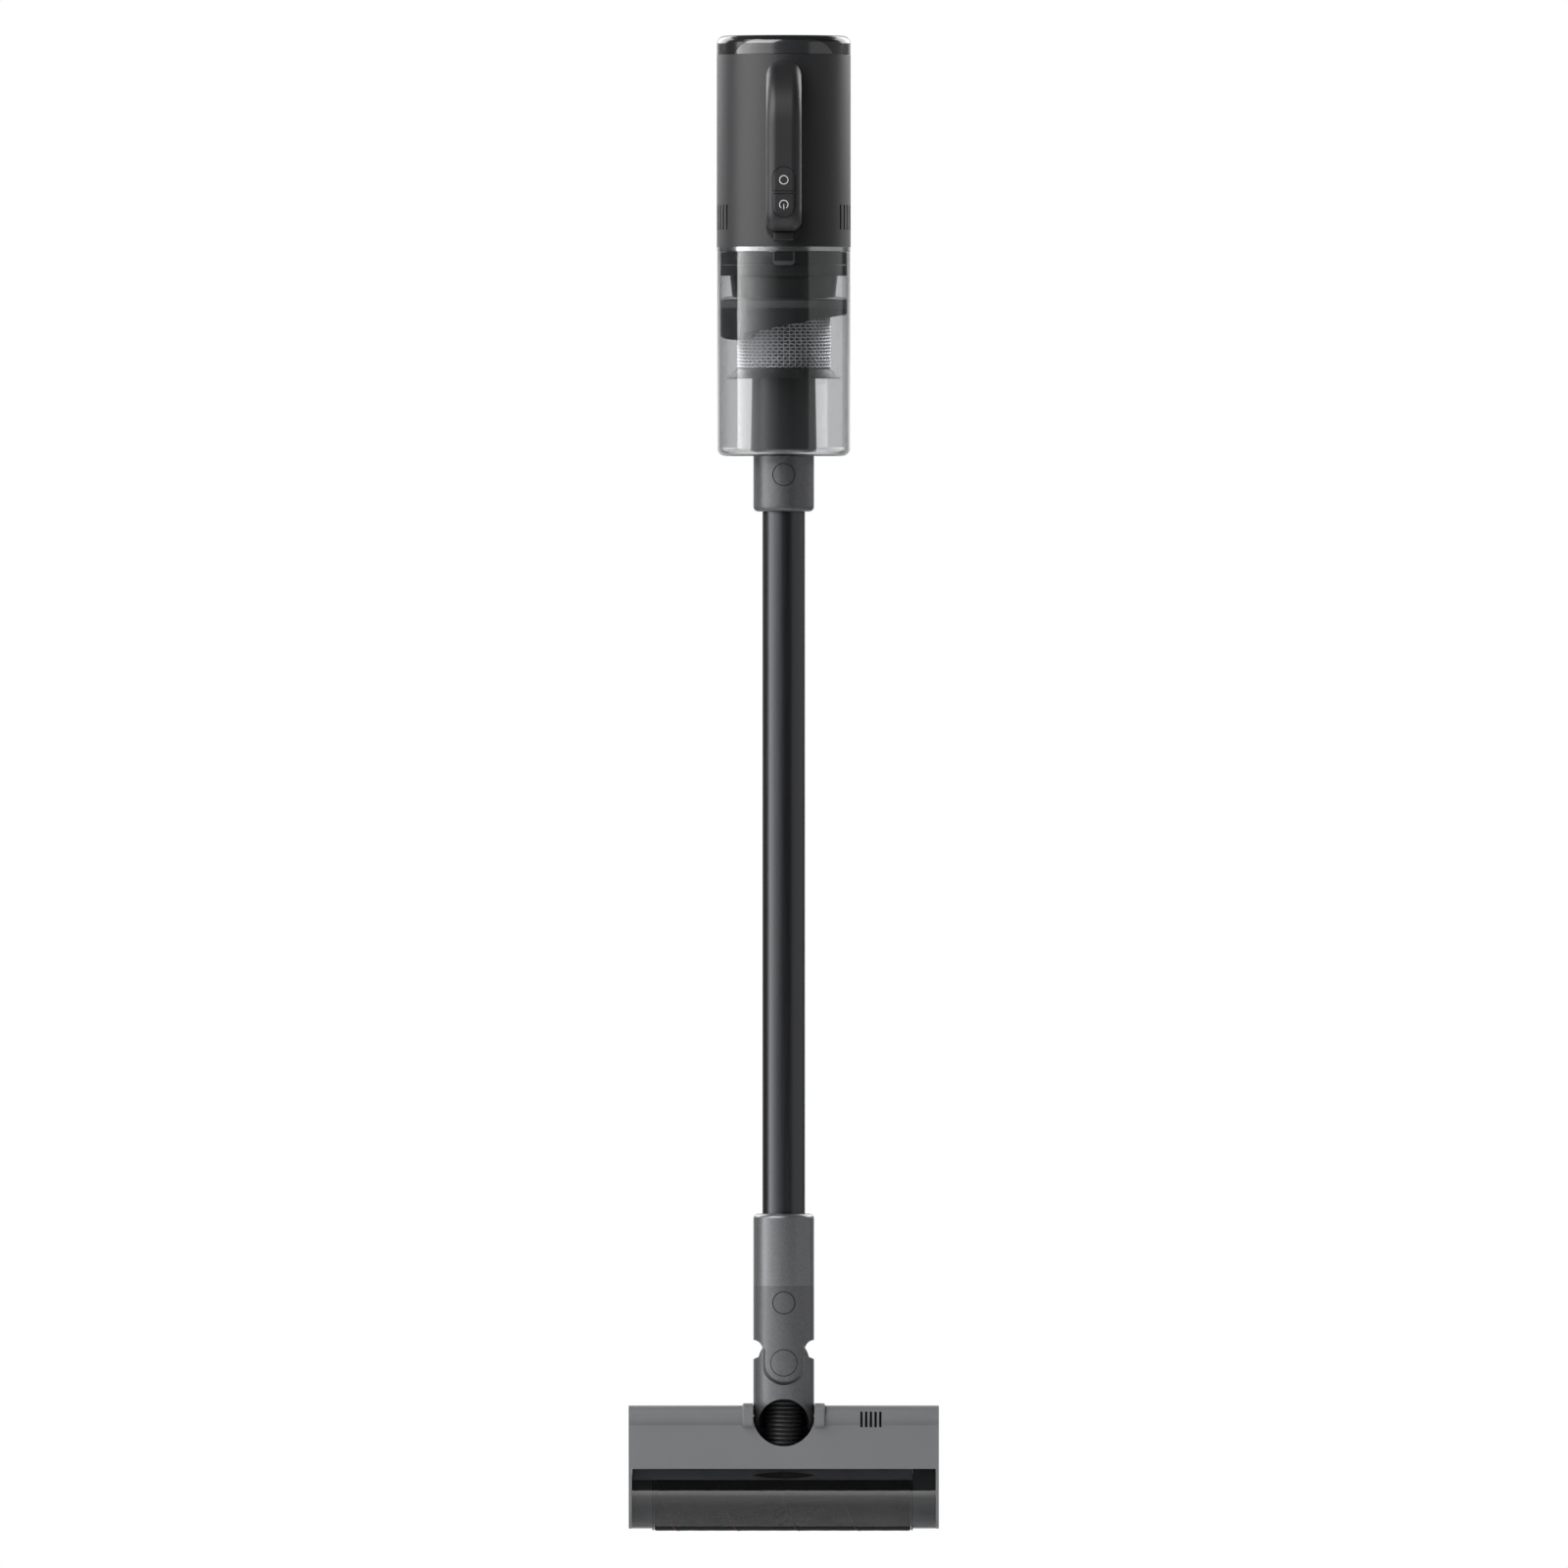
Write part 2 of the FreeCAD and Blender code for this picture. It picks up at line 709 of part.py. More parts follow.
# ---- inlet collar ----
button_radius = 8.5
wand_button_z = cup_z - 14.9
button_depth = 3.0
pocket_depth = 5.2
leaf_half_width = 2.0
leaf_reach = 5.0
leaf_thickness = 0.3
socket_top_z = cup_z - 8.5
seal_height = 2.4


def button_pocket(z):
    return rod_y(button_radius + key_gap, -collar_radius - 2, -collar_radius + pocket_depth, 0, z)


def release_button(z):
    key = rod_y(button_radius, -collar_radius - 2, -collar_radius + button_depth, 0, z)
    return key.common(rod(collar_radius, z - 20, z + 20))


def release_spring(z):
    """A bowed leaf: its crown touches the button's back and its ends stand on the pocket's floor."""
    crown = -collar_radius + button_depth
    floor = -collar_radius + pocket_depth
    inner_reach = leaf_reach - 2 * leaf_thickness
    return side(
        -leaf_half_width, leaf_half_width,
        (floor, z - leaf_reach), ((crown, z), (floor, z + leaf_reach)),
        (floor, z + inner_reach), ((crown + leaf_thickness, z), (floor, z - inner_reach)),
    )


def inlet_collar():
    corner = collar_round * (1 - math.sqrt(0.5))
    bore = wand_radius + seat_gap
    body = turned(
        (bore, inlet_collar_z), (collar_radius - collar_round, inlet_collar_z),
        ((collar_radius - corner, inlet_collar_z + corner), (collar_radius, inlet_collar_z + collar_round)),
        (collar_radius, cup_z), (duct_radius, cup_z), (duct_radius, socket_top_z), (bore, socket_top_z),
    )
    return body.cut(button_pocket(wand_button_z))


def wand_seal():
    return ring(wand_radius, duct_radius + seat_gap, socket_top_z - seal_height, socket_top_z)


# ---- wand ----
wand_foot_z = lower_collar_top_z - socket_depth
wand_head_z = socket_top_z - seal_height
stop_height = 2.0
spigot_top_z = wand_foot_z - stop_height - seat_gap


def wand_tube():
    return ring(wand_radius, wand_radius - wand_wall, wand_foot_z, wand_head_z)


def wand_lower_collar():
    corner = collar_round * (1 - math.sqrt(0.5))
    bore = wand_radius + seat_gap
    stop = duct_radius
    top = lower_collar_top_z
    return turned(
        (bore, neck_top_z), (collar_radius, neck_top_z), (collar_radius, top - collar_round),
        ((collar_radius - corner, top - corner), (collar_radius - collar_round, top)),
        (bore, top), (bore, wand_foot_z), (stop, wand_foot_z), (stop, wand_foot_z - stop_height),
        (bore, wand_foot_z - stop_height),
    )


def wand_wiring():
    return block(-4, 4, duct_radius - 2.1, duct_radius - 0.7, wand_foot_z + 4, wand_head_z - 4)


# ---- neck ----
tongue_radius = 15.0
tongue_plane = 18.3  # inner face of the two tongues, out from the axis
dome_radius = 20.8
dome_gap = 0.4
shoulder_rise = 18.0
notch_radius = 7.5
notch_rise = 10.8
recess_radius = 17.8
spigot_radius = wand_radius - 0.1
spigot_seat = 8.0
neck_button_z = swivel_z + 48.4
cap_disc_radius = 10.5
cap_depth = 2.2
swivel_pin_radius = 5.0
swivel_pin_end = 15.4
neck_bore = 20.5
pitch_pin_radius = 4.0
mouth_radius = 20.5
mouth_drop = 7.0
knuckle_drop = 11.0


def upper_neck():
    body = rod(collar_radius, swivel_z - tongue_radius, neck_top_z)
    keep = front(
        -collar_radius - 1, collar_radius + 1,
        (-collar_radius - 1, neck_top_z), (-collar_radius - 1, swivel_z + notch_rise),
        (-tongue_radius, swivel_z + notch_rise), (-tongue_radius, swivel_z),
        ((0, swivel_z - tongue_radius), (tongue_radius, swivel_z)), (tongue_radius, swivel_z + notch_rise),
        (collar_radius + 1, swivel_z + notch_rise), (collar_radius + 1, neck_top_z),
    )
    body = body.common(keep)
    cuts = [rod_y(notch_radius, -30, 30, hand * (collar_radius + 0.2), swivel_z + notch_rise)
            for hand in (-1, 1)]
    cuts += [
        rod_y(dome_radius + dome_gap, -tongue_plane, tongue_plane, 0, swivel_z),
        rod(airway_radius, swivel_z, neck_top_z + 1),
        rod(spigot_radius + seat_gap, neck_top_z - spigot_seat, neck_top_z + 1),
        rod_y(swivel_pin_radius + shaft_gap, -30, 30, 0, swivel_z),
        rod_y(cap_disc_radius + key_gap, -30, -collar_radius + cap_depth, 0, swivel_z),
        rod_y(cap_disc_radius + key_gap, collar_radius - cap_depth, 30, 0, swivel_z),
        button_pocket(neck_button_z),
    ]
    return body.cut(cuts)


def neck_half(hand):
    half = block(-40, 40, 0, 40, pitch_z, neck_top_z + 1)
    if hand < 0:
        half.translate(Vector(0, -40, 0))
    return upper_neck().common(half)


def neck_spigot():
    return ring(spigot_radius, airway_radius, neck_top_z - spigot_seat, spigot_top_z)


def swivel_pins():
    pins = []
    skin_rod = rod(collar_radius, swivel_z - 20, swivel_z + 20)
    for hand in (-1, 1):
        near, far = hand * (collar_radius - cap_depth), hand * 30
        disc = rod_y(cap_disc_radius, min(near, far), max(near, far), 0, swivel_z).common(skin_rod)
        inner = hand * swivel_pin_end
        stub = rod_y(swivel_pin_radius, min(inner, near), max(inner, near), 0, swivel_z)
        pins.append(fused(disc, stub))
    return group(pins)


def neck_lower_shell():
    wide = collar_radius + 1
    body = rod(collar_radius, pitch_z - 30, swivel_z + 30)
    dome_x = dome_radius - 0.5
    dome_z = swivel_z + math.sqrt(dome_radius**2 - dome_x**2)
    shoulder_z = swivel_z + 2.4
    keep = front(
        -wide, wide,
        (-wide, pitch_z - 30), (-wide, shoulder_z), (-dome_x, dome_z),
        ((0, swivel_z + dome_radius), (dome_x, dome_z)), (wide, shoulder_z), (wide, pitch_z - 30),
    )
    ball = Part.makeSphere(collar_radius, Vector(0, 0, pitch_z))
    above = block(-wide, wide, -wide, wide, pitch_z, swivel_z + 40)
    body = body.common(keep).common(fused(ball, above))
    body = body.common(block(-wide, wide, -wide, wide, pitch_z - knuckle_drop, swivel_z + 40))
    plane = tongue_plane - gap
    cuts = []
    for y0, y1 in ((-30, -plane), (plane, 30)):
        cuts.append(rod_y(recess_radius, y0, y1, 0, swivel_z))
        cuts.append(block(-recess_radius, recess_radius, y0, y1, swivel_z, swivel_z + 40))
    bore_top = swivel_z - recess_radius - 2
    cuts += [
        rod(neck_bore, pitch_z - 40, bore_top),
        rod(airway_radius, bore_top - 1, swivel_z + 40),
        rod_y(swivel_pin_radius + shaft_gap, -30, 30, 0, swivel_z),
        rod_y(mouth_radius, -40, 0, 0, pitch_z - mouth_drop),
        rod_x(pitch_pin_radius + shaft_gap, -wide, wide, 0, pitch_z),
    ]
    return body.cut(cuts)


ear_inner = collar_radius + gap


def pitch_pins():
    pins = []
    for hand in (-1, 1):
        a, b = hand * (neck_bore + 0.6), hand * (ear_inner + ear_width - 1.0)
        pins.append(rod_x(pitch_pin_radius, min(a, b), max(a, b), 0, pitch_z))
    return group(pins)


hose_pitch = 4.1
hose_root = 12.9
hose_crest = 14.4
hose_wall = 0.8
hose_start = 9.0  # above the brush chamber's rear wall
stub_height = 10.0
chamber_wall = 2.2
hose_z0 = chamber_wall_z + hose_start
hose_z1 = swivel_z - recess_radius - 2


def neck_hose():
    """A corrugated hose: crests and roots alternate along its length, with a wall of constant thickness."""
    folds = int((hose_z1 - hose_z0) / hose_pitch)
    pitch = (hose_z1 - hose_z0) / folds
    outer = []
    for k in range(folds):
        z = hose_z0 + k * pitch
        outer += [(hose_root + hose_wall, z), (hose_crest + hose_wall, z + 0.3 * pitch),
                  (hose_crest + hose_wall, z + 0.6 * pitch)]
    outer.append((hose_root + hose_wall, hose_z1))
    inner = [(r - hose_wall, z) for r, z in reversed(outer)]
    return turned(*(outer + inner))


# ---- floor head ----
ridge_z0 = head_depth - 15.0
crease_y = roller_y - roller_radius - window_proud
crease_z = roller_z + window_crease
cover_lean = 1.9  # how far the flat leans out between the seam and the hose
hose_room = hose_crest + hose_wall + gap + head_wall - cover_lean
flat_front_y = min(crease_y + 0.4, -hose_room)  # the cover clears both the brush and the hose
under_cover_y = flat_front_y + head_wall + 0.4
flat_rear_y = flat_front_y - 5.7
ridge_y = flat_rear_y - 3.3
end_cap_radius = 21.4
front_inset = roller_z - end_cap_radius
window_edge_angle = 41.0
window_edge_radius = roller_radius + 2.4
motor_y = 2.0
motor_axis_z = head_depth - 23.75
motor_room = head_depth - head_wall - chamber_wall_z - chamber_wall
head_motor_radius = motor_room / 2 - 8.05
motor_to_ear = 9.2
roller_x0 = -half_head + 2.5 + left_cap_width + 1.2
roller_x1 = half_head - 2.5 - drive_width - 1.2
pulley_x0 = roller_x1 + 4.7
motor_x0 = ear_inner + ear_width + motor_to_ear
motor_x1 = roller_x1 - 6.3
pulley_width = 8.0
roller_pulley_radius = 15.0
motor_pulley_radius = 6.0
belt_thickness = 1.5
cover_screws = [
    (-half_head + 21.0, head_depth - 11.0), (-ear_inner - 19.2, chamber_wall_z + 8.5),
    (ear_inner + 6.2, chamber_wall_z + 8.5), (half_head - 13.0, head_depth - 7.0),
]
screw_radius = 1.4
well_wall = 1.8
squeegee_z0 = chamber_wall_z + 3.0
squeegee_z1 = chamber_wall_z + 5.5
belt_case_radius = 11.5  # small end of the drive cover, round the motor's pulley
vents_x = half_head - 62.4  # first of the five slots


def around_roller(radius, degrees):
    """A point (y, z) round the roller's axis; 0 degrees is the front of the head and 90 is out of its top."""
    angle = math.radians(degrees)
    return (roller_y - radius * math.sin(angle), roller_z - radius * math.cos(angle))


window_edge = around_roller(window_edge_radius, window_edge_angle)
edge_in, edge_down = window_edge[0] - crease_y, crease_z - window_edge[1]
window_bend = (edge_in**2 + edge_down**2) / (2 * edge_in)  # radius of a curve that leaves the crease along Z


def window_curve(depth, share):
    """A point (y, z) on the window's curve, depth under its face, share of the way from crease to edge."""
    angle = share * math.asin(edge_down / window_bend)
    radius = window_bend - depth
    return (crease_y + window_bend - radius * math.cos(angle), crease_z - radius * math.sin(angle))


def head_side(x0, x1):
    """The head's whole side outline."""
    return side(
        x0, x1,
        (sole_y, head_depth), (ridge_y + 6.5, head_depth),
        ((ridge_y + 2.0, head_depth - 1.9), (ridge_y, head_depth - 6.0)),
        ((ridge_y + 0.9, head_depth - 11.5), (flat_rear_y, ridge_z0)),
        (flat_front_y, seam_z), window_curve(0, 0), (window_curve(0, 0.5), window_curve(0, 1)),
        (roller_y - 9.0, front_inset),
        (roller_y + 13.0, front_inset), ((sole_y - 1.6, front_inset + 2.2), (sole_y, front_inset + 8.0)),
    )


def ear(x0):
    body = side(
        x0, x0 + ear_width,
        (20, pitch_z - 9.5), (flat_rear_y + 2, pitch_z - ear_drop), (ridge_y - 1.2, pitch_z - 8.0),
        ((ridge_y - 2.4, pitch_z - 5.0), (ridge_y - 2.6, pitch_z - 2.0)), (ridge_y - 2.6, pitch_z + 3.5),
        ((ridge_y - 0.8, pitch_z + 7.8), (ridge_y + 3.5, pitch_z + 9.5)), (20, pitch_z + 9.5),
    )
    outer_face = x0 + ear_width if x0 > 0 else x0

    def on_outer_face(edge):
        box = edge.BoundBox
        return box.XLength < 1e-4 and abs(box.XMin - outer_face) < 1e-4 and edge.CenterOfMass.y < 15

    return rounded(body, ear_round, on_outer_face)


def head_top_cover():
    shell = head_side(-half_head, half_head)
    hollow = side(
        -cheek_x, cheek_x,
        (60, -10), (-40, -10), (-40, seam_z), (flat_front_y + head_wall, seam_z),
        (flat_rear_y + head_wall, ridge_z0), (ridge_y + head_wall, head_depth - 7.0),
        (ridge_y + head_wall + 4.5, head_depth - head_wall), (60, head_depth - head_wall),
    )
    shell = shell.cut(hollow)
    bosses = [rod_y(3.6, -40, sole_y - sole_thickness - seat_gap, x, z) for x, z in cover_screws]
    bosses = [boss.common(head_side(-cheek_x, cheek_x)) for boss in bosses]
    ears = [ear(ear_inner), ear(-ear_inner - ear_width)]
    shell = fused(shell, *(bosses + ears))
    opening = ear_inner
    well_floor = collar_radius + 3.0
    cuts = [
        block(-opening, opening, -60, well_floor, pitch_z, head_depth + 30),
        rod_y(opening, -60, well_floor, 0, pitch_z),
        rod_x(pitch_pin_radius + 0.02, ear_inner - 1, ear_inner + ear_width - 1.0, 0, pitch_z),
        rod_x(pitch_pin_radius + 0.02, -ear_inner - ear_width + 1.0, -ear_inner + 1, 0, pitch_z),
    ]
    cuts += [rod_y(screw_radius + 0.05, 12, 60, x, z) for x, z in cover_screws]
    for k in range(5):
        x = vents_x + 3.8 * k
        cuts.append(block(x - 0.95, x + 0.95, -40, -14, ridge_z0 - 1.9, head_depth - 4.2))
    return shell.cut(cuts)


def roller_window():
    half = cheek_x - 0.2
    thick = window_thickness
    return side(
        -half, half,
        window_curve(0, 1), (window_curve(0, 0.5), window_curve(0, 0)),
        (flat_front_y, seam_z - 0.2), (flat_front_y + thick, seam_z - 0.2),
        window_curve(thick, 0), (window_curve(thick, 0.5), window_curve(thick, 1)),
    )


def wheel_place(hand):
    return (hand * wheel_x, floor_y - wheel_radius, pitch_z - 8.0)


def head_base():
    inner_y = sole_y - sole_thickness
    rear = head_depth - head_wall - 0.2
    sole = block(-cheek_x + 0.1, cheek_x - 0.1, inner_y, sole_y, chamber_wall_z, rear)
    wall = block(roller_x0 - 1.0, roller_x1 + 1.0, under_cover_y, inner_y + 1,
                 chamber_wall_z, chamber_wall_z + chamber_wall)
    stub = rod(hose_root - 0.3, chamber_wall_z, hose_z0 + stub_height)
    well = rod_y(ear_inner + well_wall, under_cover_y, inner_y + 1, 0, pitch_z)
    well = well.cut(rod_y(ear_inner, -40, inner_y, 0, pitch_z))
    well = well.cut(block(-40, 40, -40, 60, pitch_z - ear_drop - gap, head_depth + 40))
    well = well.cut(rod(hose_crest + 1.2, 0, pitch_z - 10))
    cradle_half = head_motor_radius - 0.5
    cradles = [block(x, x + 3, 6, inner_y + 1, motor_axis_z - cradle_half, motor_axis_z + cradle_half)
               for x in (motor_x0 + 5, motor_x1 - 9)]
    lugs = []
    for hand in (-1, 1):
        x, y, z = wheel_place(hand)
        for edge in (-wheel_width / 2 - gap - 2.6, wheel_width / 2 + gap):
            lugs.append(block(x + edge, x + edge + 2.6, y - 4, inner_y + 1, z - 4, z + 4))
    base = fused(sole, wall, stub, well, *(cradles + lugs))
    cuts = [
        rod(hose_root - 1.6, 0, hose_z0 + stub_height + 1),
        rod_x(head_motor_radius + seat_gap, motor_x0 - 5, motor_x1 + 5, motor_y, motor_axis_z),
        block(roller_x0, roller_x1, sole_y - 1.5, 60, squeegee_z0, squeegee_z1),
    ]
    for hand in (-1, 1):
        x, y, z = wheel_place(hand)
        half = wheel_width / 2 + gap
        cuts.append(block(x - half, x + half, inner_y - 1, 60, z - wheel_radius - 1, z + wheel_radius + 1))
        cuts.append(rod_x(1.5 + shaft_gap, x - 8, x + 8, y, z))
    for x, z in cover_screws:
        cuts.append(rod_y(screw_radius + 0.1, inner_y - 1, 60, x, z))
        cuts.append(rod_y(3.2, sole_y - 1.2, 60, x, z))
    drive = block(roller_x1 + 1.0, cheek_x + 1, -20, inner_y - 2, 40, chamber_wall_z + 16.5)
    cuts.append(drive)
    return base.cut(cuts)


def cover_screw_set():
    screws = []
    for x, z in cover_screws:
        head = rod_y(2.9, sole_y - 1.2, sole_y - 0.1, x, z)
        shank = rod_y(screw_radius, 13, sole_y - 1.2, x, z)
        slot = block(x - 2.0, x + 2.0, sole_y - 0.7, sole_y + 1, z - 0.35, z + 0.35)
        cross = block(x - 0.35, x + 0.35, sole_y - 0.7, sole_y + 1, z - 2.0, z + 2.0)
        screws.append(fused(head, shank).cut([slot, cross]))
    return group(screws)


def squeegee_strip():
    return block(roller_x0, roller_x1, sole_y - 1.5, floor_y - gap, squeegee_z0, squeegee_z1)


def wheel(hand):
    x, y, z = wheel_place(hand)
    tyre = rod_x(wheel_radius, x - wheel_width / 2, x + wheel_width / 2, y, z)
    tyre = tyre.makeFillet(1.5, tyre.Edges)
    axle = rod_x(1.5, x - 7.2, x + 7.2, y, z)
    return fused(tyre, axle)


def roller_end_cap():
    x0, x1 = -cheek_x, -cheek_x + left_cap_width
    cap = rod_x(end_cap_radius, x0, x1, roller_y, roller_z)
    lip = rod_x(end_cap_radius - 2.5, x1, x1 + 0.7, roller_y, roller_z)
    cap = fused(cap, lip)
    return cap.cut(rod_x(4.0 + shaft_gap, x1 - 7, x1 + 2, roller_y, roller_z))


def drive_cover():
    """The case round the belt, open to the side wall: big end on the roller's axis, small end on the motor's."""
    x0, x1 = cheek_x - drive_width, cheek_x
    roller_at, motor_at = (roller_y, roller_z), (motor_y, motor_axis_z)

    def case(x, shrink, width):
        face = both_circles(lambda y, z: Vector(x, y, z), roller_at, end_cap_radius - shrink,
                            motor_at, belt_case_radius - shrink)
        return face.extrude(Vector(width, 0, 0))

    body = case(x0, 0.0, x1 - x0).cut(case(x0 + 1.6, 1.6, x1 - x0))
    holes = [rod_x(4.0 + shaft_gap, x0 - 1, x0 + 3, roller_y, roller_z),
             rod_x(2.0 + gap, x0 - 1, x0 + 3, motor_y, motor_axis_z)]
    return body.cut(holes)


def head_motor():
    can = rod_x(head_motor_radius, motor_x0, motor_x1, motor_y, motor_axis_z)
    can = can.makeFillet(1.5, can.Edges)
    return can.cut(rod_x(2.0 + shaft_gap, motor_x1 - 9, motor_x1 + 1, motor_y, motor_axis_z))


def pulley(radius, y, z):
    body = rod_x(radius, pulley_x0, pulley_x0 + pulley_width, y, z)
    flanges = [rod_x(radius + 2, x, x + 1, y, z) for x in (pulley_x0, pulley_x0 + pulley_width - 1)]
    return [body] + flanges


def motor_pulley():
    shaft = rod_x(2.0, motor_x1 - 8, pulley_x0 + pulley_width + 1, motor_y, motor_axis_z)
    return fused(shaft, *pulley(motor_pulley_radius, motor_y, motor_axis_z))


def drive_belt():
    x0 = pulley_x0 + 1 + gap
    width = pulley_width - 2 - 2 * gap
    near, far = (roller_y, roller_z), (motor_y, motor_axis_z)

    def loop(grow):
        face = both_circles(lambda y, z: Vector(x0, y, z), near, roller_pulley_radius + grow,
                            far, motor_pulley_radius + grow)
        return face.extrude(Vector(width, 0, 0))

    return loop(gap + belt_thickness).cut(loop(gap))


def roller_core():
    tube = rod_x(roller_core_radius, roller_x0, roller_x1, roller_y, roller_z)
    hollow = rod_x(roller_core_radius - 2.0, roller_x0 + 4, roller_x1 - 4, roller_y, roller_z)
    left = rod_x(4.0, -cheek_x + left_cap_width - 6.5, roller_x0 + 1, roller_y, roller_z)
    right = rod_x(4.0, roller_x1 - 1, pulley_x0 + 1, roller_y, roller_z)
    whole = fused(tube, left, right, *pulley(roller_pulley_radius, roller_y, roller_z))
    vents = [rod_x(3.0, roller_x1 - 5, pulley_x0 + pulley_width + 1, roller_y + 10 * s, roller_z)
             for s in (-1, 1)]
    return whole.cut([hollow] + vents)


def roller_brush():
    outer = rod_x(roller_radius, roller_x0 + 0.4, roller_x1 - 0.4, roller_y, roller_z)
    return outer.cut(rod_x(roller_core_radius, roller_x0, roller_x1, roller_y, roller_z))


# ---- every piece, by node name ----
pieces = {
    "main_housing": main_housing,
    "top_cap": top_cap,
    "display_lens": display_lens,
    "display_board": display_board,
    "handle_front_shell": handle_front_shell,
    "handle_rear_shell": handle_rear_shell,
    "mode_button": lambda: button(mode_z0, mode_z1, True),
    "power_button": lambda: button(power_z0, power_z1, False),
    "control_board": control_board,
    "battery_cells": battery_cells,
    "battery_carrier": battery_carrier,
    "motor_case": motor_case,
    "motor_bearings": motor_bearings,
    "motor_isolator": motor_isolator,
    "impeller": impeller,
    "exhaust_filter": exhaust_filter,
    "charging_jack": charging_jack,
    "cup_latch": cup_latch,
    "cup_latch_spring": cup_latch_spring,
    "deck_screws": deck_screw_set,
    "cup_shell": cup_shell,
    "cup_rim": cup_rim,
    "cup_catch": cup_catch,
    "inlet_tube": inlet_tube,
    "mesh_screen": mesh_screen,
    "screen_frame": screen_frame,
    "cyclone_body": cyclone_body,
    "lip_seal": lip_seal,
    "cyclone_cone": cyclone_cone,
    "pre_filter": pre_filter,
    "inlet_collar": inlet_collar,
    "wand_button": lambda: release_button(wand_button_z),
    "wand_button_spring": lambda: release_spring(wand_button_z),
    "wand_seal": wand_seal,
    "wand_tube": wand_tube,
    "wand_lower_collar": wand_lower_collar,
    "wand_wiring": wand_wiring,
    "neck_front_shell": lambda: neck_half(-1),
    "neck_rear_shell": lambda: neck_half(1),
    "neck_spigot": neck_spigot,
    "head_button": lambda: release_button(neck_button_z),
    "head_button_spring": lambda: release_spring(neck_button_z),
    "swivel_pins": swivel_pins,
    "neck_lower_shell": neck_lower_shell,
    "neck_hose": neck_hose,
    "pitch_pins": pitch_pins,
    "head_top_cover": head_top_cover,
    "roller_window": roller_window,
    "head_base": head_base,
    "cover_screws": cover_screw_set,
    "squeegee_strip": squeegee_strip,
    "roller_end_cap": roller_end_cap,
    "drive_cover": drive_cover,
    "head_motor": head_motor,
    "motor_pulley": motor_pulley,
    "drive_belt": drive_belt,
    "roller_core": roller_core,
    "roller_brush": roller_brush,
}

os.makedirs("parts", exist_ok=True)
for node, make in pieces.items():
    write(node, make())
for label, hand in (("left", -1), ("right", 1)):
    write("rear_wheel_%s" % label, wheel(hand))
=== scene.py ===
"""Looks of the cordless stick vacuum cleaner, hung straight from its wall dock, on the fixed frame.

Metres, in the row frame: +X to the right, -Y to the user's side, +Z up. Sizes named in millimetres carry mm.
"""

import math

import bpy
import numpy as np
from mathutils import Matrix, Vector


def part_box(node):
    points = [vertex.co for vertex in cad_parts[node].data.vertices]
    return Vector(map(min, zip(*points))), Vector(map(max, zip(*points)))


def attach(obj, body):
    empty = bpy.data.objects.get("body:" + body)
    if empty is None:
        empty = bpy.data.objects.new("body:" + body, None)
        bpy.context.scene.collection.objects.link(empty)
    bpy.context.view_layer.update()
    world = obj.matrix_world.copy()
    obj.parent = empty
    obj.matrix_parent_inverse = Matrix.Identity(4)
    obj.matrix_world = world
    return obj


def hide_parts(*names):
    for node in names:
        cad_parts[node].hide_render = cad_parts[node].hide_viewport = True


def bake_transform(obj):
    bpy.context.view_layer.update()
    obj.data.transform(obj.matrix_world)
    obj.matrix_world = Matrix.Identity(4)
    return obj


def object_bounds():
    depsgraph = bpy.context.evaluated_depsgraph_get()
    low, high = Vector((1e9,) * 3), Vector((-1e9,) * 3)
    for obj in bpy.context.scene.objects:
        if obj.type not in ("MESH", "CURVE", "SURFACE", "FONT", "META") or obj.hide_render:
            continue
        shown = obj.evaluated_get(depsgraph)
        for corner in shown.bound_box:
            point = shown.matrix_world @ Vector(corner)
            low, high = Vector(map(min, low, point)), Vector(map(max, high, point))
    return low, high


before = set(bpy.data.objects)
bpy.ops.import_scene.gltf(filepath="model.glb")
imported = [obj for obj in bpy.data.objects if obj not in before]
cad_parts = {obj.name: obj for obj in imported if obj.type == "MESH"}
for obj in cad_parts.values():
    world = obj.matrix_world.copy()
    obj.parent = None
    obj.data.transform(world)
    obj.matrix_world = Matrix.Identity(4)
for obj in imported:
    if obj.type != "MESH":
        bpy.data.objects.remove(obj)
cad_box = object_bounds()
mm = 0.001


# ---- motor housing ----
# The round housing holds the motor and the cells. It is moulded ABS, charcoal all through, and its steel
# mould was spark eroded, so the skin has a fine even grain and only a broad satin gloss.
def linear(hex_colour):
    """Linear RGBA of an sRGB hex value: a straight part near black and a power of 2.4 above it."""
    srgb = np.array([int(hex_colour[k:k + 2], 16) for k in (1, 3, 5)]) / 255
    rgb = np.where(srgb <= 0.04045, srgb / 12.92, ((srgb + 0.055) / 1.055) ** 2.4)
    return (*rgb.tolist(), 1.0)


def add(tree, kind, inputs=None, **settings):
    """Adds a shader node with its settings. inputs gives each socket a value, or the output that feeds it."""
    made = tree.nodes.new("ShaderNode" + kind)
    for name, value in settings.items():
        setattr(made, name, value)
    for socket, value in (inputs or {}).items():
        if isinstance(value, bpy.types.NodeSocket):
            tree.links.new(value, made.inputs[socket])
        else:
            made.inputs[socket].default_value = value
    return made


def new_finish(name, **sockets):
    """An empty finish: its tree, its shader with the constant sockets set, and the place on the piece."""
    finish = bpy.data.materials.new(name)
    finish.use_nodes = True
    tree = finish.node_tree
    shader = tree.nodes["Principled BSDF"]
    for socket, value in sockets.items():
        shader.inputs[socket.replace("_", " ")].default_value = value
    return finish, tree, shader, add(tree, "TexCoord").outputs["Object"]


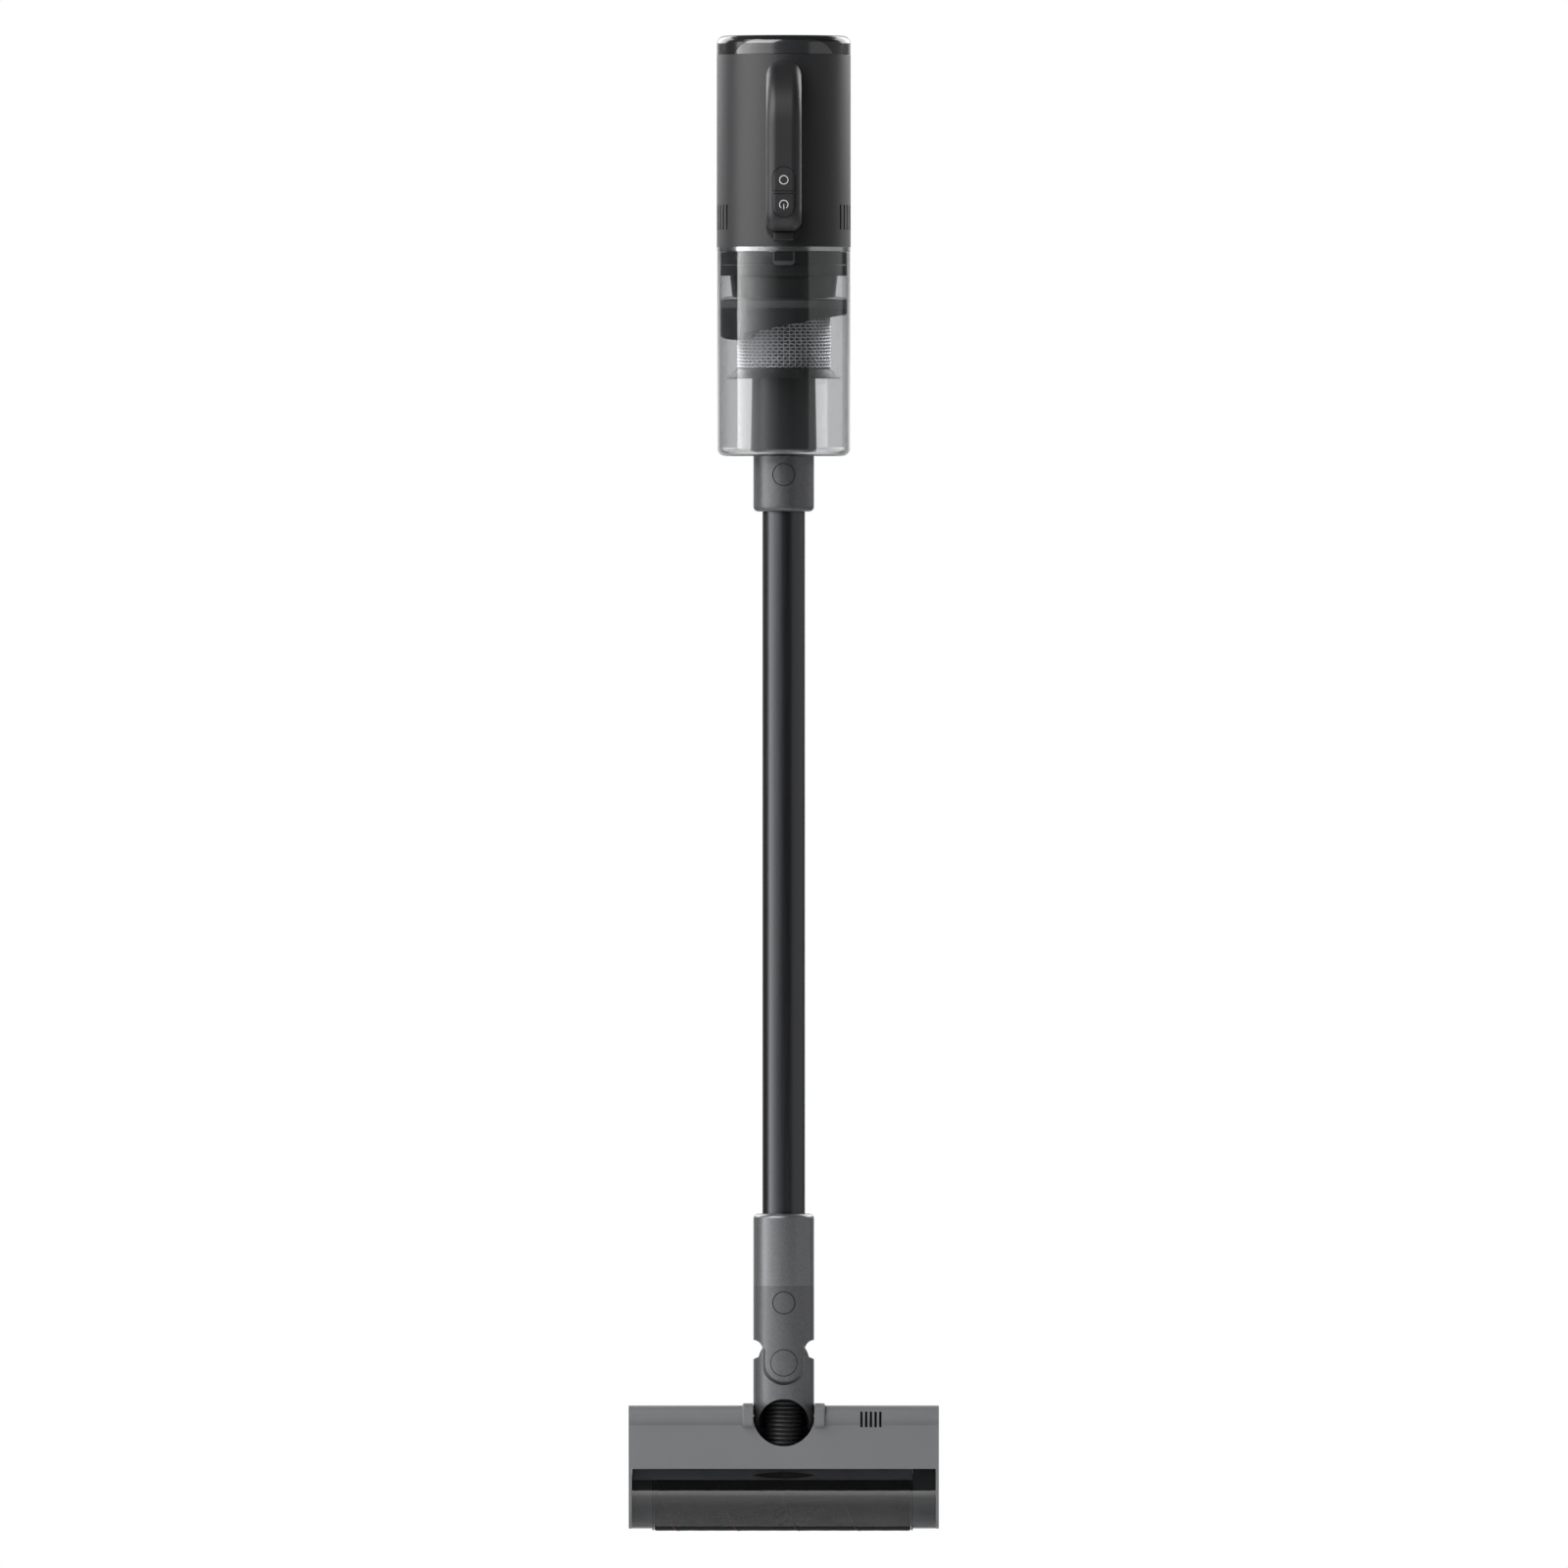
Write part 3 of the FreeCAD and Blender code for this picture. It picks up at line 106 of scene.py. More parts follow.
def between(tree, factor, low, high):
    """Runs from low to high as factor, a noise, goes over its usual middle range."""
    limits = {"From Min": 0.3, "From Max": 0.7, "To Min": low, "To Max": high}
    return add(tree, "MapRange", {"Value": factor, **limits})


def two_tone(tree, factor, first, second):
    """The colour between two hex colours at factor."""
    blend = add(tree, "Mix", data_type="RGBA")
    tree.links.new(factor, blend.inputs["Factor"])
    blend.inputs["A"].default_value = linear(first)
    blend.inputs["B"].default_value = linear(second)
    return blend.outputs["Result"]


def moulded(name, dark, light, gloss, grain_mm, relief_mm, **sockets):
    """Moulded plastic. Colour drifts from dark to light over 30 mm, as resin does. The grain of grain_mm
    makes the roughness run over the two values of gloss, and stands relief_mm proud. A polished skin has a
    relief of 0, and equal gloss values give it one roughness all over."""
    finish, tree, shader, place = new_finish(name, **sockets)
    drift = add(tree, "TexNoise", {"Vector": place, "Scale": 1 / (30 * mm), "Detail": 2.0})
    grain = add(tree, "TexNoise", {"Vector": place, "Scale": 1 / (grain_mm * mm), "Detail": 3.0})
    tree.links.new(two_tone(tree, drift.outputs["Fac"], dark, light), shader.inputs["Base Color"])
    if gloss[0] != gloss[1]:
        roughness = between(tree, grain.outputs["Fac"], gloss[0], gloss[1])
        tree.links.new(roughness.outputs["Result"], shader.inputs["Roughness"])
    else:
        shader.inputs["Roughness"].default_value = gloss[0]
    if relief_mm:
        relief = {"Height": grain.outputs["Fac"], "Distance": relief_mm * mm, "Strength": 0.5}
        bump = add(tree, "Bump", relief)
        tree.links.new(bump.outputs["Normal"], shader.inputs["Normal"])
    return finish


def dress(finish, *nodes):
    """Gives CAD nodes their finish."""
    for name in nodes:
        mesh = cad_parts[name].data
        mesh.materials.clear()
        mesh.materials.append(finish)


# The grain is 0.3 mm on the real skin and is drawn at 0.9 mm, the finest that still shows.
charcoal_abs = moulded("charcoal ABS, spark eroded", "#232325", "#28282a", (0.38, 0.46), 0.9, 0.012)
dress(charcoal_abs, "main_housing", "cup_latch")


# ---- end cap ----
# The cap is black ABS from a polished mould. The lens over the display is smoked acrylic, and the light
# sinks into it, so it reads as a deep gloss with a soft sheen towards the lit side.
polished_abs = moulded("black ABS, polished", "#1b1b1c", "#202021", (0.16, 0.20), 2.5, 0)
smoked_acrylic = moulded(
    "smoked acrylic", "#28292b", "#2c2d2f", (0.20, 0.24), 4.0, 0,
    IOR=1.6, Coat_Weight=1.0, Coat_Roughness=0.12,
)
dress(polished_abs, "top_cap")
dress(smoked_acrylic, "display_lens")


# ---- display board and control board ----
# Glass-fibre boards under green solder resist. The copper tracks under the resist show as paler lanes.
def resist_board():
    """Green resist cut into lanes of 9 mm by the paler lines of a brick pattern."""
    finish, tree, shader, place = new_finish("glass-fibre board, solder resist", Roughness=0.35, IOR=1.5)
    lanes = add(tree, "TexBrick", {"Vector": place, "Scale": 1 / (9 * mm), "Mortar Size": 0.04})
    lanes.inputs["Color1"].default_value = linear("#0d3b27")
    lanes.inputs["Color2"].default_value = linear("#0a3121")
    lanes.inputs["Mortar"].default_value = linear("#2c7a4d")
    tree.links.new(lanes.outputs["Color"], shader.inputs["Base Color"])
    return finish


dress(resist_board(), "display_board", "control_board")


# ---- bow handle ----
# Two shells meet along the middle of the bow. The front one is charcoal ABS as the housing is. The rear
# one, inside the grip, has a soft lacquer for the fingers, so it is a touch paler and quite matt.
handle_abs = moulded("charcoal ABS, satin", "#202022", "#252527", (0.40, 0.48), 0.9, 0.010)
grip_lacquer = moulded("soft-touch lacquer on ABS", "#242527", "#28292b", (0.55, 0.62), 0.9, 0.014)
dress(handle_abs, "handle_front_shell", "mode_button", "power_button")
dress(grip_lacquer, "handle_rear_shell")


# ---- marks on the two keys ----
# A ring for the mode key and the usual broken ring with a stroke for power, printed in pale ink. They are
# thin raised bands, so they ride on their keys and sink with them.
def closed_grid(grid, wrap_u, wrap_v):
    """Quads over a grid of points. wrap_u and wrap_v join the last row or column to the first one."""
    rows, columns = grid.shape[:2]
    index = np.arange(rows * columns).reshape(rows, columns)
    if wrap_u:
        index = np.vstack([index, index[:1]])
    if wrap_v:
        index = np.hstack([index, index[:, :1]])
    quads = np.stack([index[:-1, :-1], index[1:, :-1], index[1:, 1:], index[:-1, 1:]], axis=-1)
    return grid.reshape(-1, 3), quads.reshape(-1, 4)


def piece(name, parts, finish, sharp_degrees=35):
    """One mesh from (points, faces) parts, smooth except over edges sharper than sharp_degrees."""
    points, faces, start = [], [], 0
    for part_points, part_faces in parts:
        points.append(part_points)
        faces.extend((part_faces + start).tolist())
        start += len(part_points)
    mesh = bpy.data.meshes.new(name)
    mesh.from_pydata(np.concatenate(points).tolist(), [], faces)
    mesh.polygons.foreach_set("use_smooth", np.ones(len(mesh.polygons), bool))
    mesh.set_sharp_from_angle(angle=math.radians(sharp_degrees))
    mesh.materials.append(finish)
    made = bpy.data.objects.new(name, mesh)
    bpy.context.scene.collection.objects.link(made)
    return made


def flat_band(path, width, back_y, front_y, closed):
    """A band along a path of (x, z) points: the path is pushed half a width to each side along its normal,
    and the four edges of the section stand at back_y and front_y."""
    step = np.roll(path, -1, 0) - np.roll(path, 1, 0)
    if not closed:
        step[0], step[-1] = path[1] - path[0], path[-1] - path[-2]
    normal = np.stack([-step[:, 1], step[:, 0]], 1) / np.linalg.norm(step, axis=1)[:, None] * width / 2
    corners = []
    for side, y in ((1, back_y), (1, front_y), (-1, front_y), (-1, back_y)):
        flat = path + side * normal
        corners.append(np.stack([flat[:, 0], np.full(len(flat), y), flat[:, 1]], 1))
    points, faces = closed_grid(np.stack(corners, 1), closed, True)
    if closed:
        return points, faces
    last = len(points) - 4
    ends = np.array([[3, 2, 1, 0], [last, last + 1, last + 2, last + 3]])
    return points, np.vstack([faces, ends])


pale_ink = moulded("pale pad-printed ink", "#c9cacb", "#d4d5d6", (0.45, 0.55), 1.2, 0.004)
mark_radius = 3.4 * mm
mark_width = 0.6 * mm
mark_height = 0.18 * mm
mark_root = 0.3 * mm  # sunk into the key
mark_shift = 0.9 * mm  # the two keys' shared outline puts each mark off its key's middle
stroke_start = 0.4 * mm
stroke_middle = 2.0 * mm
stroke_past_ring = 0.5 * mm


def key_marks():
    """The ring is a band round a full circle, the power mark one from -55 to 235 degrees and a straight band
    that runs down from near its middle and out through the gap."""
    full = np.radians(np.linspace(0, 360, 48, endpoint=False))
    broken = np.radians(np.linspace(-55, 235, 40))
    for node, body, angles, closed in (
        ("mode_button", "mode_key", full, True),
        ("power_button", "power_key", broken, False),
    ):
        low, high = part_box(node)
        middle = np.array([(low.x + high.x) / 2, (low.z + high.z) / 2])
        middle[1] += -mark_shift if closed else mark_shift
        back, front = low.y + mark_root, low.y - mark_height
        arc = middle + mark_radius * np.stack([np.cos(angles), np.sin(angles)], 1)
        parts = [flat_band(arc, mark_width, back, front, closed)]
        if not closed:
            drops = np.array([-stroke_start, stroke_middle, mark_radius + stroke_past_ring])
            stroke = middle - np.stack([0 * drops, drops], 1)
            parts.append(flat_band(stroke, mark_width, back, front, False))
        mark = piece(body + "_mark", parts, pale_ink)
        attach(mark, body)


key_marks()


# ---- battery, motor and their mounts ----
# Cells in blue heat-shrink film, a black carrier, a cast aluminium motor case with steel bearings on a
# rubber mount, and a paper filter behind the vents. They show only through the vents and when opened.
def plain_metal(name, dark, light, gloss, streak_mm, stretch, **sockets):
    """Bare or dyed metal. Streaks of streak_mm run `stretch` times longer along Z, as tools and drawing dies
    leave them, and they shift both the colour and the gloss."""
    finish, tree, shader, place = new_finish(name, Metallic=1.0, **sockets)
    scale = 1 / (streak_mm * mm)
    drawn = add(tree, "Mapping", {"Vector": place, "Scale": (scale, scale, scale / stretch)})
    streak = add(tree, "TexNoise", {"Vector": drawn.outputs["Vector"], "Scale": 1.0, "Detail": 2.0})
    tree.links.new(two_tone(tree, streak.outputs["Fac"], dark, light), shader.inputs["Base Color"])
    roughness = between(tree, streak.outputs["Fac"], gloss[0], gloss[1])
    tree.links.new(roughness.outputs["Result"], shader.inputs["Roughness"])
    return finish


cell_film = moulded("heat-shrink film", "#1f4f86", "#245a97", (0.30, 0.40), 6.0, 0.02)
carrier_abs = moulded("black ABS, as moulded", "#141415", "#19191a", (0.45, 0.60), 1.2, 0.02)
cast_aluminium = plain_metal("aluminium, die cast", "#a3a5a8", "#b4b6b9", (0.35, 0.50), 1.5, 1.0)
ground_steel = plain_metal("bearing steel, ground", "#b9babb", "#c8c9ca", (0.18, 0.30), 0.6, 12.0)
zinc_steel = plain_metal("steel, zinc plated", "#b4b8bd", "#c6c9cd", (0.25, 0.38), 1.0, 3.0)
mount_rubber = moulded("nitrile rubber", "#161616", "#1c1c1c", (0.60, 0.75), 1.5, 0.02)
filter_paper = moulded("filter paper, pleated", "#d8d5ca", "#e6e3d9", (0.80, 0.95), 0.7, 0.04)
dress(cell_film, "battery_cells")
dress(carrier_abs, "battery_carrier", "impeller")
dress(cast_aluminium, "motor_case")
dress(ground_steel, "motor_bearings", "charging_jack")
dress(zinc_steel, "deck_screws", "cup_latch_spring")
dress(mount_rubber, "motor_isolator")
dress(filter_paper, "exhaust_filter")


# ---- dust cup ----
# The cup is one clear polycarbonate shell, 2.2 mm thick, pulled from a polished mould. Its rounded foot
# bends the light into a dark line with a bright one beside it, and its wall takes long crisp reflections.
def softened(corners, steps=6):
    """A closed outline of (a, b, radius) corners. Each corner becomes the arc of that radius that touches
    both its sides: it starts radius / tan(half angle) from the corner, round a centre on the bisector."""
    flat = np.array([c[:2] for c in corners], float)
    outline = []
    for here, before, after, (_, _, radius) in zip(flat, np.roll(flat, 1, 0), np.roll(flat, -1, 0), corners):
        if radius == 0:
            outline.append(here[None])
            continue
        to_before = (before - here) / np.linalg.norm(before - here)
        to_after = (after - here) / np.linalg.norm(after - here)
        half = math.acos(np.clip(to_before @ to_after, -1, 1)) / 2
        bisector = (to_before + to_after) / np.linalg.norm(to_before + to_after)
        centre = here + bisector * radius / math.sin(half)
        start = here + to_before * radius / math.tan(half) - centre
        end = here + to_after * radius / math.tan(half) - centre
        turn = math.pi - 2 * half
        share = np.linspace(0, 1, steps)[:, None]
        arc = np.sin((1 - share) * turn) * start + np.sin(share * turn) * end
        outline.append(centre + arc / math.sin(turn))
    return np.concatenate(outline)


def lathed(outline, axis, segments=144):
    """A closed outline of (radius, height) points turned about an upright axis through (x, y).
    The outline runs anticlockwise, so that the faces point outwards."""
    angle = np.linspace(0, 2 * math.pi, segments, endpoint=False)
    radius, height = outline[:, 0][:, None], outline[:, 1][:, None]
    grid = np.stack([
        axis[0] + radius * np.cos(angle), axis[1] + radius * np.sin(angle), height + 0 * angle,
    ], axis=-1)
    points, quads = closed_grid(grid, True, True)
    return points, quads[:, ::-1]


def clear_plastic(name, tint, gloss, haze_mm, **sockets):
    """Clear plastic. Roughness drifts a little over haze_mm, as handling leaves it, and rays from the lamps
    pass straight through, so that what is inside is lit."""
    finish, tree, shader, place = new_finish(
        name, Transmission_Weight=1.0, IOR=1.58, Base_Color=linear(tint), **sockets
    )
    haze = add(tree, "TexNoise", {"Vector": place, "Scale": 1 / (haze_mm * mm), "Detail": 2.0})
    roughness = between(tree, haze.outputs["Fac"], gloss[0], gloss[1])
    tree.links.new(roughness.outputs["Result"], shader.inputs["Roughness"])
    lamps = add(tree, "BsdfTransparent", {"Color": linear(tint)})
    choice = add(tree, "MixShader", {0: add(tree, "LightPath").outputs["Is Shadow Ray"]})
    tree.links.new(shader.outputs["BSDF"], choice.inputs[1])
    tree.links.new(lamps.outputs["BSDF"], choice.inputs[2])
    tree.links.new(choice.outputs["Shader"], tree.nodes["Material Output"].inputs["Surface"])
    return finish


cup_low, cup_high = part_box("cup_shell")
axis = (0.0, (cup_low.y + cup_high.y) / 2)
cup_wall = 2.2 * mm
cup_floor = 2.5 * mm
cup_foot_corner = 7 * mm
cup_inner_corner = 4.8 * mm
lip_edge = 0.5 * mm
duct_radius = 15.5 * mm
clear_pc = clear_plastic("polycarbonate, clear", "#dcddde", (0.0, 0.006), 40)


def cup():
    """The wall's profile, along the foot, up the outside, over the lip and back down, turned full circle."""
    foot, top = cup_low.z, cup_high.z
    outside = cup_high.x
    inside = outside - cup_wall
    inner_foot = foot + cup_floor
    outline = softened([
        (duct_radius, foot, 0), (outside, foot, cup_foot_corner), (outside, top, lip_edge),
        (inside, top, lip_edge), (inside, inner_foot, cup_inner_corner), (duct_radius, inner_foot, 0),
    ], 9)
    shell = piece("clear_cup", [lathed(outline, axis)], clear_pc, 50)
    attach(shell, "dust_cup")
    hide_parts("cup_shell")


cup()


# ---- cup rim and catch ----
# The rim ring is ABS with a bright vapour-deposited skin, which mirrors the lit side as a white line. The
# catch is a small clear-grey hook moulded on the cup, which the latch key holds.
bright_skin = plain_metal("aluminium skin on ABS", "#a9abad", "#b6b8ba", (0.16, 0.24), 2.0, 1.0)
catch_pc = moulded("polycarbonate, grey", "#3a3b3d", "#404143", (0.26, 0.26), 3.0, 0, Coat_Weight=0.3)
dress(bright_skin, "cup_rim")
dress(catch_pc, "cup_catch")


# ---- cyclone spool ----
# A glossy dark grey ABS spool: an upper flange with one fine groove, a waist that narrows downwards, and the
# guide ring below it. The guide's lower edge climbs to the right, as a ramp that starts at a step.
spool_abs = moulded("dark grey ABS, glossy", "#242526", "#2a2b2c", (0.28, 0.28), 12.0, 0)
seal_silicone = moulded("silicone rubber, grey", "#4a4b4c", "#525354", (0.45, 0.55), 2.0, 0)
spool_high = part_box("cyclone_body")[1]
screen_low, screen_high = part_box("mesh_screen")
liner_radius = spool_high.x
step_angle = np.radians(-38)


def guide_edge(angle):
    """Height of the guide's lower edge under the waist, by the angle from the user's side towards +X. It is
    a slanted plane, and from the step at -38 degrees leftwards it starts 5 mm lower and eases back."""
    slant = -21.3 * mm + 9.4 * mm * np.sin(angle)
    past = (step_angle - angle) % (2 * math.pi)
    ease = np.clip(past / np.radians(52), 0, 1)
    ease = ease * ease * (3 - 2 * ease)
    fade = np.clip((math.pi - past) / np.radians(60), 0, 1)
    return slant + (-5.0 * mm + 6.2 * mm * ease) * fade


def spool():
    """Two profiles turned full circle, for the flange and the waist, and two rings under them. Each point of
    a ring's section lies at its own share of the way from the ring's head down to the guide's edge."""
    top = spool_high.z
    flange = top - 20 * mm
    waist_foot = flange - 18.9 * mm
    skin = 2 * mm
    shelf = waist_foot - skin
    groove_top, groove_foot = waist_foot - 1 * mm, waist_foot - 7 * mm
    waist_top_radius, waist_foot_radius = 43.4 * mm, 41.6 * mm
    seat = liner_radius - 16.4 * mm
    groove = liner_radius - 1.3 * mm
    inner_ring = screen_high.x + 0.15 * mm
    edge_radius = 0.5 * mm
    fine_edge = 0.2 * mm
    fine_groove = liner_radius - 0.35 * mm
    upper = softened([
        (seat, flange, 0), (waist_top_radius, flange, 0.6 * mm),
        (waist_top_radius, flange - 3.5 * mm, 1 * mm), (waist_foot_radius, waist_foot, 1 * mm),
        (liner_radius, waist_foot, edge_radius), (liner_radius, groove_top, 0), (groove, groove_top, 0),
        (groove, groove_foot, 0), (liner_radius - skin, groove_foot, 0), (liner_radius - skin, shelf, 0),
        (seat, shelf, 0),
    ], 5)[::-1]
    flange_ring = softened([
        (seat, top, 0), (seat, flange, 0), (liner_radius, flange, edge_radius),
        (liner_radius, flange + 8.6 * mm, fine_edge), (fine_groove, flange + 9.0 * mm, fine_edge),
        (fine_groove, flange + 9.6 * mm, fine_edge), (liner_radius, flange + 10.0 * mm, fine_edge),
        (liner_radius, top, edge_radius),
    ], 4)
    angle = np.linspace(0, 2 * math.pi, 360, endpoint=False) + step_angle + 0.001
    edge = waist_foot + guide_edge(angle)
    rounding = 0.4 * mm
    drop = np.array([0.0, 0.5, 0.97, 1.0, 1.0, 0.97, 0.0])[:, None]
    rings = []
    for outer, inner, head in (
        (liner_radius, liner_radius - skin, groove_foot),
        (inner_ring + skin, inner_ring, shelf),
    ):
        section = [outer, outer, outer, outer - rounding, inner + rounding, inner, inner]
        radius = np.array(section)[:, None]
        height = head + drop * (edge - head)
        grid = np.stack([axis[0] + radius * np.sin(angle), axis[1] - radius * np.cos(angle), height], axis=-1)
        rings.append(closed_grid(grid, True, True))
    body = piece("cyclone_spool", [lathed(upper, axis), lathed(flange_ring, axis)] + rings, spool_abs, 30)
    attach(body, "dust_cup")
    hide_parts("cyclone_body")


spool()
dress(seal_silicone, "lip_seal")
dress(carrier_abs, "cyclone_cone")
dress(filter_paper, "pre_filter")


# ---- woven screen and its skirt ----
# Stainless wire cloth, rolled and welded. The real cloth is far finer; it is drawn as coarse as it needs to
# show: wavy weft wires 2.6 mm apart over straight warp wires. Behind it lies the fine gauze itself, in the
# same steel drawn much darker, as painted shade for the openings of the cloth.
wire_steel = plain_metal("stainless wire", "#e6e8ea", "#f2f4f6", (0.34, 0.44), 0.8, 1.0)
# Painted shade: the gauze is the wires' steel drawn much darker, for the openings of the cloth.
shaded_gauze_steel = plain_metal("stainless gauze, painted shade", "#5f6163", "#6d6f71", (0.34, 0.42), 0.8, 1.0)
skirt_abs = moulded("black ABS, satin", "#1d1d1e", "#222223", (0.30, 0.40), 1.5, 0)
weft_pitch = 2.6 * mm
wave_count = 50
wave_height = 0.42 * mm
weft_wire = 0.46 * mm  # radius of a wire, as is warp_wire
warp_wire = 0.22 * mm
gauze_depth = 1.2 * mm
gauze_wall = 0.3 * mm


def tube_along(path, radius, sides, wrap):
    """A round wire along a path of points near an upright cylinder: its section stands on the outward
    direction from the axis and on the one square to it and to the path."""
    step = np.roll(path, -1, 0) - np.roll(path, 1, 0)
    if not wrap:
        step[0], step[-1] = path[1] - path[0], path[-1] - path[-2]
    step /= np.linalg.norm(step, axis=1)[:, None]
    out = path - np.array([axis[0], axis[1], 0.0])
    out[:, 2] = 0
    out /= np.linalg.norm(out, axis=1)[:, None]
    across = np.cross(step, out)
    across /= np.linalg.norm(across, axis=1)[:, None]
    turn = np.linspace(0, 2 * math.pi, sides, endpoint=False)
    grid = path[:, None] + radius * (
        np.cos(turn)[None, :, None] * out[:, None] + np.sin(turn)[None, :, None] * across[:, None]
    )
    points, quads = closed_grid(grid, wrap, True)
    return points, quads[:, ::-1]


def screen():
    """Each weft wire is a circle whose height swings as a sine, half a wave on from the wire below it. Each
    warp wire is a straight upright line behind them."""
    outer = screen_high.x
    angle = np.linspace(0, 2 * math.pi, wave_count * 6, endpoint=False)
    radius = outer - weft_wire
    x, y = axis[0] + radius * np.cos(angle), axis[1] + radius * np.sin(angle)
    parts = []
    rows = int((screen_high.z - screen_low.z) / weft_pitch) - 1
    for row in range(rows):
        height = screen_low.z + (row + 0.9) * weft_pitch
        wave = wave_height * np.sin(wave_count * angle + math.pi * (row % 2))
        parts.append(tube_along(np.stack([x, y, height + wave], 1), weft_wire, 5, True))
    radius = outer - 2 * weft_wire - warp_wire * 0.2
    for column in range(wave_count):
        turn = 2 * math.pi * (column + 0.5) / wave_count
        x, y = axis[0] + radius * math.cos(turn), axis[1] + radius * math.sin(turn)
        line = np.array([[x, y, screen_low.z + 0.2 * mm], [x, y, screen_high.z - 0.2 * mm]])
        parts.append(tube_along(line, warp_wire, 4, False))
    cloth = piece("woven_screen", parts, wire_steel, 60)
    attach(cloth, "dust_cup")
    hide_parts("mesh_screen")
    front = outer - gauze_depth
    back = front - gauze_wall
    sheet = np.array([
        (back, screen_low.z), (front, screen_low.z), (front, screen_high.z), (back, screen_high.z),
    ])
    gauze = piece("screen_gauze", [lathed(sheet, axis)], shaded_gauze_steel, 50)
    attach(gauze, "dust_cup")


screen()
dress(skirt_abs, "screen_frame")


# ---- inlet tube, inlet collar and its button ----
# The tube up the middle of the cup is glossy grey ABS. The collar under the cup is ABS with a metallic
# lacquer: fine flakes give it a bright soft highlight and dark flanks.
def metallic_lacquer(name, dark, light, gloss, shine):
    """Lacquer with aluminium flakes under a clear coat. Each flake, a cell 0.4 mm wide drawn at 1.1 mm, lies
    a little differently, so it changes the colour and the gloss of its spot."""
    finish, tree, shader, place = new_finish(name, Metallic=shine, Coat_Weight=0.25, Coat_Roughness=0.25)
    flakes = add(tree, "TexVoronoi", {"Vector": place, "Scale": 1 / (1.1 * mm)})
    flake = add(tree, "SeparateColor", {"Color": flakes.outputs["Color"]}).outputs["Red"]
    tree.links.new(two_tone(tree, flake, dark, light), shader.inputs["Base Color"])
    roughness = add(tree, "MapRange", {"Value": flake, "To Min": gloss[0], "To Max": gloss[1]})
    tree.links.new(roughness.outputs["Result"], shader.inputs["Roughness"])
    return finish


tube_abs = moulded("grey ABS, glossy", "#2a2b2c", "#303132", (0.30, 0.30), 12.0, 0)
collar_lacquer = metallic_lacquer("metallic lacquer on ABS", "#58595b", "#626365", (0.36, 0.42), 0.55)
dress(tube_abs, "inlet_tube")
dress(collar_lacquer, "inlet_collar", "wand_button")
dress(zinc_steel, "wand_button_spring")
dress(mount_rubber, "wand_seal")


# ---- wand and lower collar ----
# The wand is an extruded aluminium tube, anodised black. The dye keeps the metal's gloss, so one narrow
# highlight runs its whole length, with the faint lengthwise lines of the die. The collar is lacquered.
anodised = plain_metal("anodised aluminium, black", "#505153", "#565759", (0.30, 0.36), 0.9, 80.0)
bright_lacquer = metallic_lacquer("metallic lacquer on aluminium", "#6d6e70", "#77787a", (0.34, 0.40), 0.6)
dress(anodised, "wand_tube")
dress(bright_lacquer, "wand_lower_collar")
dress(cell_film, "wand_wiring")


# ---- neck ----
# Two lacquered half shells joined front to back hold the head's release button and the swivel pins. The
# lower shell turns on those, and the head pitches on ground steel pins pressed into it.
neck_lacquer = metallic_lacquer("metallic lacquer on nylon", "#5c5d5f", "#666769", (0.38, 0.44), 0.5)
dress(neck_lacquer, "neck_front_shell", "neck_rear_shell", "head_button", "swivel_pins", "neck_lower_shell")
dress(carrier_abs, "neck_spigot")
dress(zinc_steel, "head_button_spring")
dress(ground_steel, "pitch_pins")


# ---- painted groove shade round the buttons and caps ----
# A thin black ring round each release button and round each cap of the swivel pins is painted shade. It
# stands for the shade in the groove round the key, and shows as a thin dark line on the curved collar.
painted_groove_shade = moulded("black ring, painted groove shade", "#0c0c0c", "#101010", (0.60, 0.75), 1.5, 0.01)


def groove_shade_ring(name, node, body, side):
    """A thin dark ring of painted groove shade round a round key: its points stand on the upright collar's
    cylinder, one wire radius outside the key. side is -1 at the user's side and 1 at the back."""
    low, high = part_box(node)
    turn = np.linspace(0, 2 * math.pi, 96, endpoint=False)
    wire, sunk = 0.45 * mm, 0.25 * mm
    around_key = (high.x - low.x) / 2 + wire
    x = around_key * np.cos(turn)
    z = (low.z + high.z) / 2 + around_key * np.sin(turn)
    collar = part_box("wand_lower_collar")[1].x - sunk
    y = axis[1] + side * np.sqrt(collar**2 - x**2)
    ring = piece(name, [tube_along(np.stack([x, y, z], 1), wire, 8, True)], painted_groove_shade, 60)
    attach(ring, body)


groove_shade_ring("wand_button_groove_shade", "wand_button", "dust_cup", -1)
groove_shade_ring("head_button_groove_shade", "head_button", "neck_upper", -1)
groove_shade_ring("front_cap_groove_shade", "swivel_pins", "neck_upper", -1)
groove_shade_ring("rear_cap_groove_shade", "swivel_pins", "neck_upper", 1)


# ---- hose in the neck ----
# A thermoplastic hose with 15 round-crested ribs, black and slightly greasy in its gloss. Black felt behind
# it is painted shade for the inside of the neck.
hose_tpe = moulded("thermoplastic elastomer, black", "#1a1a1a", "#212121", (0.32, 0.42), 1.2, 0.015)
# Black felt is painted shade: it darkens the neck behind the hose, the vents and the roller's ends.
painted_shade_felt = moulded("black felt, painted shade", "#0b0b0b", "#101010", (0.90, 0.98), 1.2, 0.05)
pin_low, pin_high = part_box("pitch_pins")
pitch_z = (pin_low.z + pin_high.z) / 2


